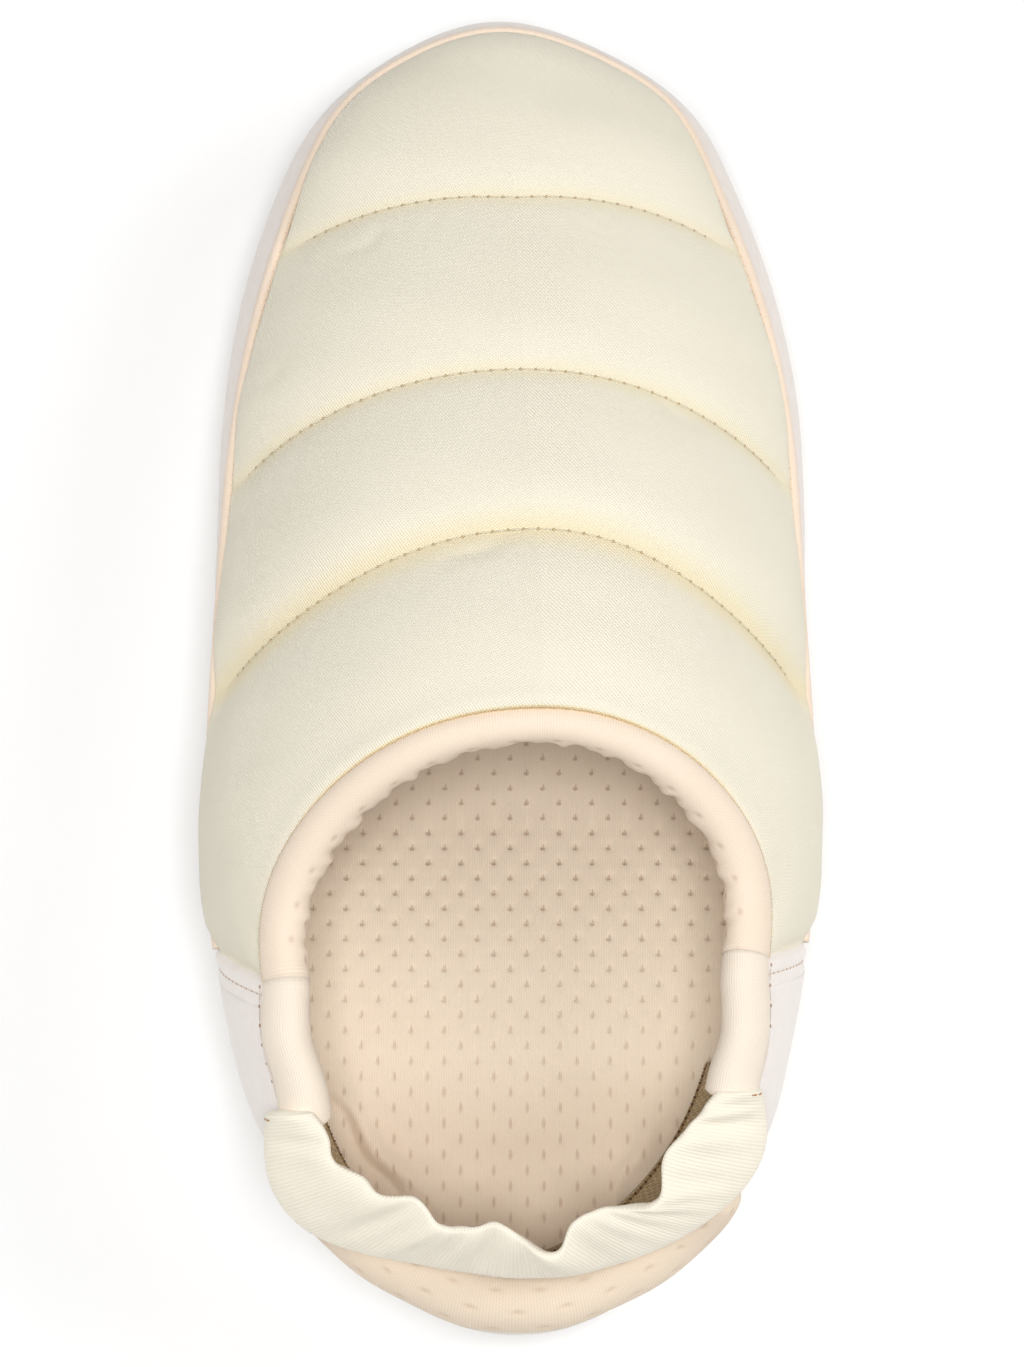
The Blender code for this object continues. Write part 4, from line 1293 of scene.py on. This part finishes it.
# how far a place on the roll faces the foot, and the cover's tucks there: two sines of uneven pitch
inside = np.clip(-np.cos(TURN + 0.3), 0, 1) ** 1.5 * np.sin(np.pi * run / run[-1]) ** 0.7
tuck = 2 * np.pi * run / 9.5 + 1.5 * np.sin(run / 8.0)
small_tuck = 2 * np.pi * run / 4.3 + 2.6 * np.sin(run / 7.0)
gathers = np.sin(tuck + 0.8 * np.sin(tuck)) + 0.35 * np.sin(small_tuck)
hollow = dimple_depth(run, TURN * 4.0, tall=0.5, wide=0.8, pitch=COLLAR_PITCH, row=3.6)
hollow = hollow * np.clip(0.75 - np.cos(TURN), 0, 1)
rings = collar_length(front, 0.95 * gathers * inside - 0.3 * hollow)
# the dimples' depth goes into the seam value, which the finish paints as shade in the hollows
collar_front = make_piece("collar_front_roll", rings, strip_cloth(rings, ring=True), seam=hollow + 0 * run)


def dimple_shaded_finish(name, pale, deep, mark_and_shade, strength):
    """Peach mesh whose real dimples are darkened by the seam value, their depth: painted shade in the
    hollows.
    """
    return mesh_finish(
        name, pale, deep, mark_and_shade, lambda cloth, along, across: cloth.seam(),
        ribs=0.46, strength=strength, depth=0.07,
    )


collar_mesh = dimple_shaded_finish(
    "collar_mesh", paint(247, 231, 212), paint(242, 223, 202), paint(190, 160, 132), strength=0.8,
)
dress(collar_front, collar_mesh, nodes=("collar_front",))

# %% Rear collars
collar_knit = ribbed_finish(
    "collar_knit", paint(247, 234, 217), paint(242, 228, 210), rib=0.53, depth=0.03,
)
for name, columns in (
    ("collar_rear_lateral", slice(0, REAR_COLUMNS + 1)),
    ("collar_rear_medial", slice(-REAR_COLUMNS - 1, None)),
):
    run = lengths(collar_line[0][columns], 0)[:, None]
    from_sling = run if columns.start == 0 else run[-1] - run
    slack = 0.25 * np.sin(from_sling / 3.4 + 1) * np.clip(1 - from_sling / 24.0, 0, 1)
    rings = collar_length(columns, slack)
    piece = make_piece(name + "_roll", rings, strip_cloth(rings, ring=True)[..., ::-1])
    dress(piece, collar_knit, nodes=(name,))

# %% Heel rim
side, theta = round_the_heel(theta_of(RIM_END), 180)
middle, outward, up = roll(side, theta, RIM_ROLL, sink=0.3)
half_across, half_up, _ = roll_shape(side, theta, RIM_ROLL)
run = lengths(middle, 0)[:, None]
hollow = dimple_depth(run, TURN * 6.1 + 0.8, tall=0.4, wide=1.1, pitch=COLLAR_PITCH, row=4.2)
slack = 0.3 * np.sin(run / 6.5) + 0.15 * np.sin(run / 2.9 + 2 * TURN)
rings = round_ends(swept(middle, outward, up, half_across, half_up, slack - 0.28 * hollow), reach=4.0)
# the dimples' depth goes into the seam value, which the finish paints as shade in the hollows
heel_rim = make_piece("heel_rim_roll", rings, strip_cloth(rings, ring=True), seam=hollow + 0 * run)
rim_mesh = dimple_shaded_finish(
    "rim_mesh", paint(239, 223, 202), paint(232, 214, 192), paint(188, 156, 126), strength=0.34,
)
dress(heel_rim, rim_mesh, nodes=("heel_rim",))
for s, name in ((1.0, "heel_edge_lateral"), (-1.0, "heel_edge_medial")):
    theta = theta_of(np.linspace(RIM_END - 4.0, by_side(s, COLLAR_END) + 2.0, 70))
    line = roll(np.full_like(theta, s), theta, EDGE_ROLL, sink=1.0)
    halves = roll_shape(np.full_like(theta, s), theta, EDGE_ROLL)[:2]
    rings = round_ends(swept(*line, *halves, push=0.0), reach=1.5)
    dress(make_piece(name, rings, strip_cloth(rings, ring=True)), rim_mesh)

# %% [markdown]
# The sling is a broad soft band with elastic in its top edge, sewn over the ends of the collar. The
# elastic gathers it into folds that stand out at the top edge and run out towards the bottom edge.
# A cloth simulation would give folds somewhere; here a short table says how far the edge is thrown
# out at places along the band, so that each main fold lies where the photograph has it.

# %% Sizes of the sling
# place along it, then x, y, z of its top edge and x, y, z of its bottom edge
SLING = (
    (0.00, 38.5, -97.5, 78.5, 46.5, -95.5, 72.0),
    (0.12, 32.5, -104.5, 78.5, 48.2, -105.0, 68.0),
    (0.26, 25.0, -113.5, 77.5, 42.5, -116.0, 64.5),
    (0.40, 13.5, -122.5, 76.5, 26.0, -126.0, 61.0),
    (0.52, 3.0, -125.5, 76.0, 5.0, -130.5, 59.5),
    (0.64, -10.5, -124.0, 76.5, -17.0, -128.0, 59.5),
    (0.76, -22.0, -118.5, 77.0, -36.5, -123.5, 62.5),
    (0.88, -31.0, -110.5, 78.0, -46.0, -113.0, 66.0),
    (1.00, -37.5, -101.5, 78.5, -46.0, -100.0, 71.5),
)
# place along it, throw of the top edge outwards from that line
SLING_FOLDS = (
    (0.00, 0.3), (0.055, 0.6), (0.108, 0.7), (0.175, 0.1), (0.235, 1.5), (0.288, 5.1), (0.34, 0.9),
    (0.40, -1.2), (0.44, 0.4), (0.46, 2.8), (0.485, 3.1), (0.51, 2.2), (0.54, -0.8), (0.582, -2.3),
    (0.66, 0.1), (0.712, -2.2), (0.75, -1.7), (0.785, 0.6), (0.828, 0.1), (0.878, 2.2), (0.92, 0.8),
    (1.00, 0.3),
)
SLING_THICK = 3.4
SLING_HUG = 2.4
# width of its cloth, and the middle of the heel, which the folds are thrown away from
SLING_CLOTH = 20.0
HEEL_MIDDLE = np.array([1.0, -96.0, 0.0])

# %% Heel sling
place = np.linspace(0, 1, 420)
top_edge, low_edge = [
    np.stack([natural_spline(SLING, c)(place) for c in columns], -1) for columns in ((1, 2, 3), (4, 5, 6))
]
away = unit((top_edge - HEEL_MIDDLE) * np.array([1.0, 1.0, 0.0]))
across = np.linspace(0, 1, 40)
ring_across = np.concatenate([across, across[-2:0:-1]])[None, :]
ring_face = np.concatenate([np.ones(40), -np.ones(38)])[None, :]
band = low_edge[:, None] + (top_edge - low_edge)[:, None] * ring_across[..., None]
facing = unit(np.cross(np.gradient((top_edge + low_edge) / 2, axis=0), top_edge - low_edge))
facing *= np.sign((facing * (away + np.array([0.0, 0.0, 0.5]))).sum(-1, keepdims=True))
ends = bell(np.minimum(place, 1 - place), 0.05)[:, None]
# folds run down and away from the middle; small gathers lie between them, two sines of uneven pitch
lean = place[:, None] + 0.035 * (1 - ring_across) * np.cos(np.pi * place[:, None])
throw = natural_spline(SLING_FOLDS)(lean) * ring_across ** 1.5
gathers = 0.75 * np.sin(62 * lean + 4 * np.sin(11 * lean)) + 0.3 * np.sin(131 * lean + 3 * np.sin(19 * lean))
gathers = gathers * (1 - ends) * np.sin(np.pi * ring_across) ** 0.5 * (0.15 + 0.85 * ring_across)
half = 0.5 * SLING_THICK * dome(np.minimum(ring_across, 1 - ring_across) * 3.2) * ring_face
hug = SLING_HUG * ends * np.sin(np.pi * ring_across)
band += facing[:, None] * (half + gathers + hug)[..., None]
band += away[:, None] * throw[..., None]
band[..., 2] -= 0.45 * throw * ring_across
sling_rings = round_ends(band, reach=1.2)
sling_along = lengths(band[:, 20], 0)[:, None] + 0 * ring_across
sling_laid = np.stack([sling_along, SLING_CLOTH * ring_across + 0 * sling_along], -1)
sling = make_piece("heel_sling_band", sling_rings, sling_laid)
sling_cloth = ribbed_finish(
    "sling_cloth", paint(251, 244, 228), paint(246, 237, 218), rib=0.75, depth=0.045,
)
dress(sling, sling_cloth, nodes=("heel_sling",))
end_runs = []
for column, first, last in ((7, 6, 20), (-8, 2, 13)):
    line = band[column, first:last]
    end_runs.append(stitch_copies(line, facing[column] + 0 * line, pitch=1.5, dot=0.2, thread=0.22))
amber_thread = stitch_finish("amber_thread", paint(206, 152, 96), paint(160, 112, 66))
sew("sling_stitches", end_runs, amber_thread)

# %% [markdown]
# A khaki woven tape is sewn round the heel margin of the footbed and climbs the wall a little. It
# shows as a small coarse patch behind the sling. It is a thin sheet whose section is a bent line,
# carried round the heel, with a coarse basket weave in its finish and overlock stitches on its edge.
# Real woven yarns could be modelled, but so little of the tape shows that bump does as well.

# %% Heel tape
# place from the lateral to the medial end, width on the footbed, climb on the wall
TAPE_WIDTH = ((0.0, 5.0, 6.0), (0.25, 9.5, 6.0), (0.5, 9.0, 5.0), (0.75, 4.0, 1.6), (1.0, 3.0, 1.2))
TAPE_THICK = 0.9
TAPE_END = -86.0
tape_side, tape_theta = round_the_heel(theta_of(TAPE_END), 110)
seat = feather_height(station_of(tape_theta))
width, climb = [natural_spline(TAPE_WIDTH, c)(np.linspace(0, 1, len(tape_theta))) for c in (1, 2)]
foot = form(tape_side, tape_theta, 0.0, -width)
foot[:, 2] = seat + INSOLE - 0.75
bend = form(tape_side, tape_theta, 0.0, -np.minimum(3.6, 0.7 * width))
bend[:, 2] = seat + INSOLE + 0.6
crest = form(tape_side, tape_theta, phi_at_height(tape_side, tape_theta, seat + INSOLE + climb), -1.6)
# each section is a quadratic curve from foot to crest that is drawn towards the bend
t = np.linspace(0, 1, 16)[None, :, None]
pull = 1.4 * bend - 0.2 * foot - 0.2 * crest
tape_low = (1 - t) ** 2 * foot[:, None] + 2 * t * (1 - t) * pull[:, None] + t ** 2 * crest[:, None]
tape_low[..., 2] += 0.5
tape_high = tape_low + np.array([0.0, 0.0, TAPE_THICK])
tape = make_sheet("heel_tape_weave", tape_high, tape_low)


def tape_finish():
    """Coarse khaki basket weave: squares of yarn that pass over and under in turn."""
    cloth = Finish("tape_weave", roughness=0.9, sheen=0.1)
    along, across = cloth.cloth()
    weave = (along + across * 0.3).wave(1.5) * across.wave(1.3) * 0.7 + along.wave(0.5) * 0.3
    ground = cloth.blend(cloth.noise(1.5), paint(186, 164, 128), paint(206, 186, 152))
    colour = cloth.blend((weave * -0.45 + 0.25).clamp(), ground, paint(146, 122, 86))
    return cloth.finish(colour, weave, 0.2)


dress(tape, tape_finish(), nodes=("heel_tape",))
tape_edge = tape_high[:, 1]
upward = np.array([0.0, 0.0, 1.0]) + 0 * tape_edge
overlock = stitch_copies(tape_edge, upward, pitch=1.5, lift=0.1, dot=0.35, thread=0.3)
brown_thread = stitch_finish("brown_thread", paint(164, 134, 96), paint(104, 80, 54))
sew("tape_stitches", [overlock], brown_thread)

# %% [markdown]
# The sole is one moulded foam unit with a stepped side and cross grooves in its tread. It can't be
# seen in the photograph and follows the solid, with finer rows and softened corners. The solid could
# be given a bevel, but one profile with softened corners suits every station, grooves and all. The
# skin is satin foam with a faint stipple from the mould.

# %% Shape of the sole
HEEL_BEVEL = 7.0
TOE_SPRING = 9.0
WAIST_RISE = 2.6
HEEL_FLAT = (-114.0, -62.0)
FORE_FLAT = (8.0, 70.0)
GROOVE_PITCH = 11.0
GROOVE_WIDTH = 2.6
GROOVE_DEPTH = 2.2
# grow from the feather line: three corners of the tread, then the side's corners with their height
# as a share of the way from the tread to the seat
TREAD_PROFILE = (-18.0, -1.5, 2.6)
SIDE_PROFILE = ((4.3, 0.36), (3.6, 0.5), (4.8, 0.62), (4.6, 1.0), (-0.5, 1.0))


def tread_height(station):
    """Height of the tread: level under heel and ball, hollow at the waist, turned up at both ends."""
    heel = HEEL_BEVEL * (np.maximum(HEEL_FLAT[0] - station, 0) / (HEEL_FLAT[0] + HALF)) ** 2
    toe = TOE_SPRING * (np.maximum(station - FORE_FLAT[1], 0) / (HALF - FORE_FLAT[1])) ** 2
    waist = np.clip((station - HEEL_FLAT[1]) / (FORE_FLAT[0] - HEEL_FLAT[1]), 0, 1)
    return heel + toe + WAIST_RISE * np.sin(np.pi * waist) ** 2


def groove_depth(station):
    """Depth of the cross grooves in the two flats: full within half the width of each middle line."""
    total = np.zeros_like(station)
    for rear, front in (HEEL_FLAT, FORE_FLAT):
        count = int((front - rear) // GROOVE_PITCH)
        for middle in rear + (front - rear) * (np.arange(count) + 0.5) / count:
            inside = (GROOVE_WIDTH / 2 + 0.3 - np.abs(station - middle)) / 0.5
            total = np.maximum(total, GROOVE_DEPTH * np.clip(inside, 0, 1))
    return total


def softened(points, turns):
    """Round the corners of profiles: every inner point moves to the mean of itself and its neighbours."""
    for _ in range(turns):
        points[:, 1:-1] = (points[:, :-2] + 2 * points[:, 1:-1] + points[:, 2:]) / 4
    return points


# %% Sole piece
sole_theta = np.linspace(0, np.pi, 460)[:, None]
sole_station = station_of(sole_theta)
deep = tread_height(sole_station)
seat = feather_height(sole_station) - GAP
low = deep + groove_depth(sole_station)
grows = np.array(TREAD_PROFILE + tuple(row[0] for row in SIDE_PROFILE))
heights = [low, low, np.maximum(low, deep + 2.0)] + [deep + row[1] * (seat - deep) for row in SIDE_PROFILE]
fine = np.linspace(0, len(grows) - 1, 64)
fine_grow = np.interp(fine, np.arange(len(grows)), grows)[None, :]
cell = np.minimum(fine.astype(int), len(grows) - 2)
heights = np.concatenate(heights, axis=1)
fine_height = heights[:, cell] + (heights[:, cell + 1] - heights[:, cell]) * (fine - cell)[None, :]
halves = []
for s in SIDES:
    x, y = feather(s, sole_theta)
    out_x, out_y = feather_normal(s, sole_theta)
    points = np.stack([x + out_x * fine_grow, y + out_y * fine_grow, fine_height], -1)
    halves.append(softened(points, 5))
sole_rings = np.concatenate([halves[0], halves[1][:, ::-1]], axis=1)
sole = make_piece("sole_body", sole_rings, strip_cloth(sole_rings, ring=True))


def foam_finish():
    """Satin foam: off-white, with a fine stipple and slightly darker low places."""
    foam = Finish("sole_foam", roughness=0.55, specular=0.4)
    stipple = foam.noise(0.7, detail=3.0)
    cloudy = (foam.noise(12.0) * 0.6 + stipple * 0.4).clamp()
    colour = foam.blend(cloudy, paint(232, 224, 214), paint(244, 238, 230))
    return foam.finish(colour, stipple, 0.06)


dress(sole, foam_finish(), nodes=("sole",))

# %% [markdown]
# Last come the small stitches that hold the collar: needle holes in a row along the seam between
# the quarter and the rear collar on each side, and fine tan stitches round the throat. Both could be
# dots in a finish, but real stitches keep their size and catch the light.

# %% Collar seam stitches
collar_runs = []
for s in SIDES:
    theta = theta_of(np.linspace(by_side(s, COLLAR_END) - 1.0, by_side(s, JOINT), 60))
    angle = 0.955 * topline_phi(np.full_like(theta, s), theta)
    line = form(s, theta, angle, QUARTER_FACE)
    outward = form(s, theta, angle, WALL + 8.0) - line
    collar_runs.append(stitch_copies(line, outward, pitch=3.5, lift=0.1, dot=0.4, thread=0.12))
sew("collar_stitches", collar_runs, pale_thread)
# the throat line lies low on the outer side of the front roll
middle, outward, up = [part[front] for part in collar_line]
wide, tall = [half[front] for half in collar_halves]
low_turn = 0.6 + 0.2 * np.sin(np.pi * np.linspace(0, 1, len(middle)))[:, None]
throat_line = middle + outward * wide * np.cos(low_turn) - up * tall * np.sin(low_turn)
throat_run = stitch_copies(throat_line, outward, pitch=2.4, lift=0.06, dot=0.14, thread=0.14)
tan_thread = stitch_finish("tan_thread", paint(232, 208, 172), paint(198, 168, 128))
sew("throat_stitches", [throat_run], tan_thread)
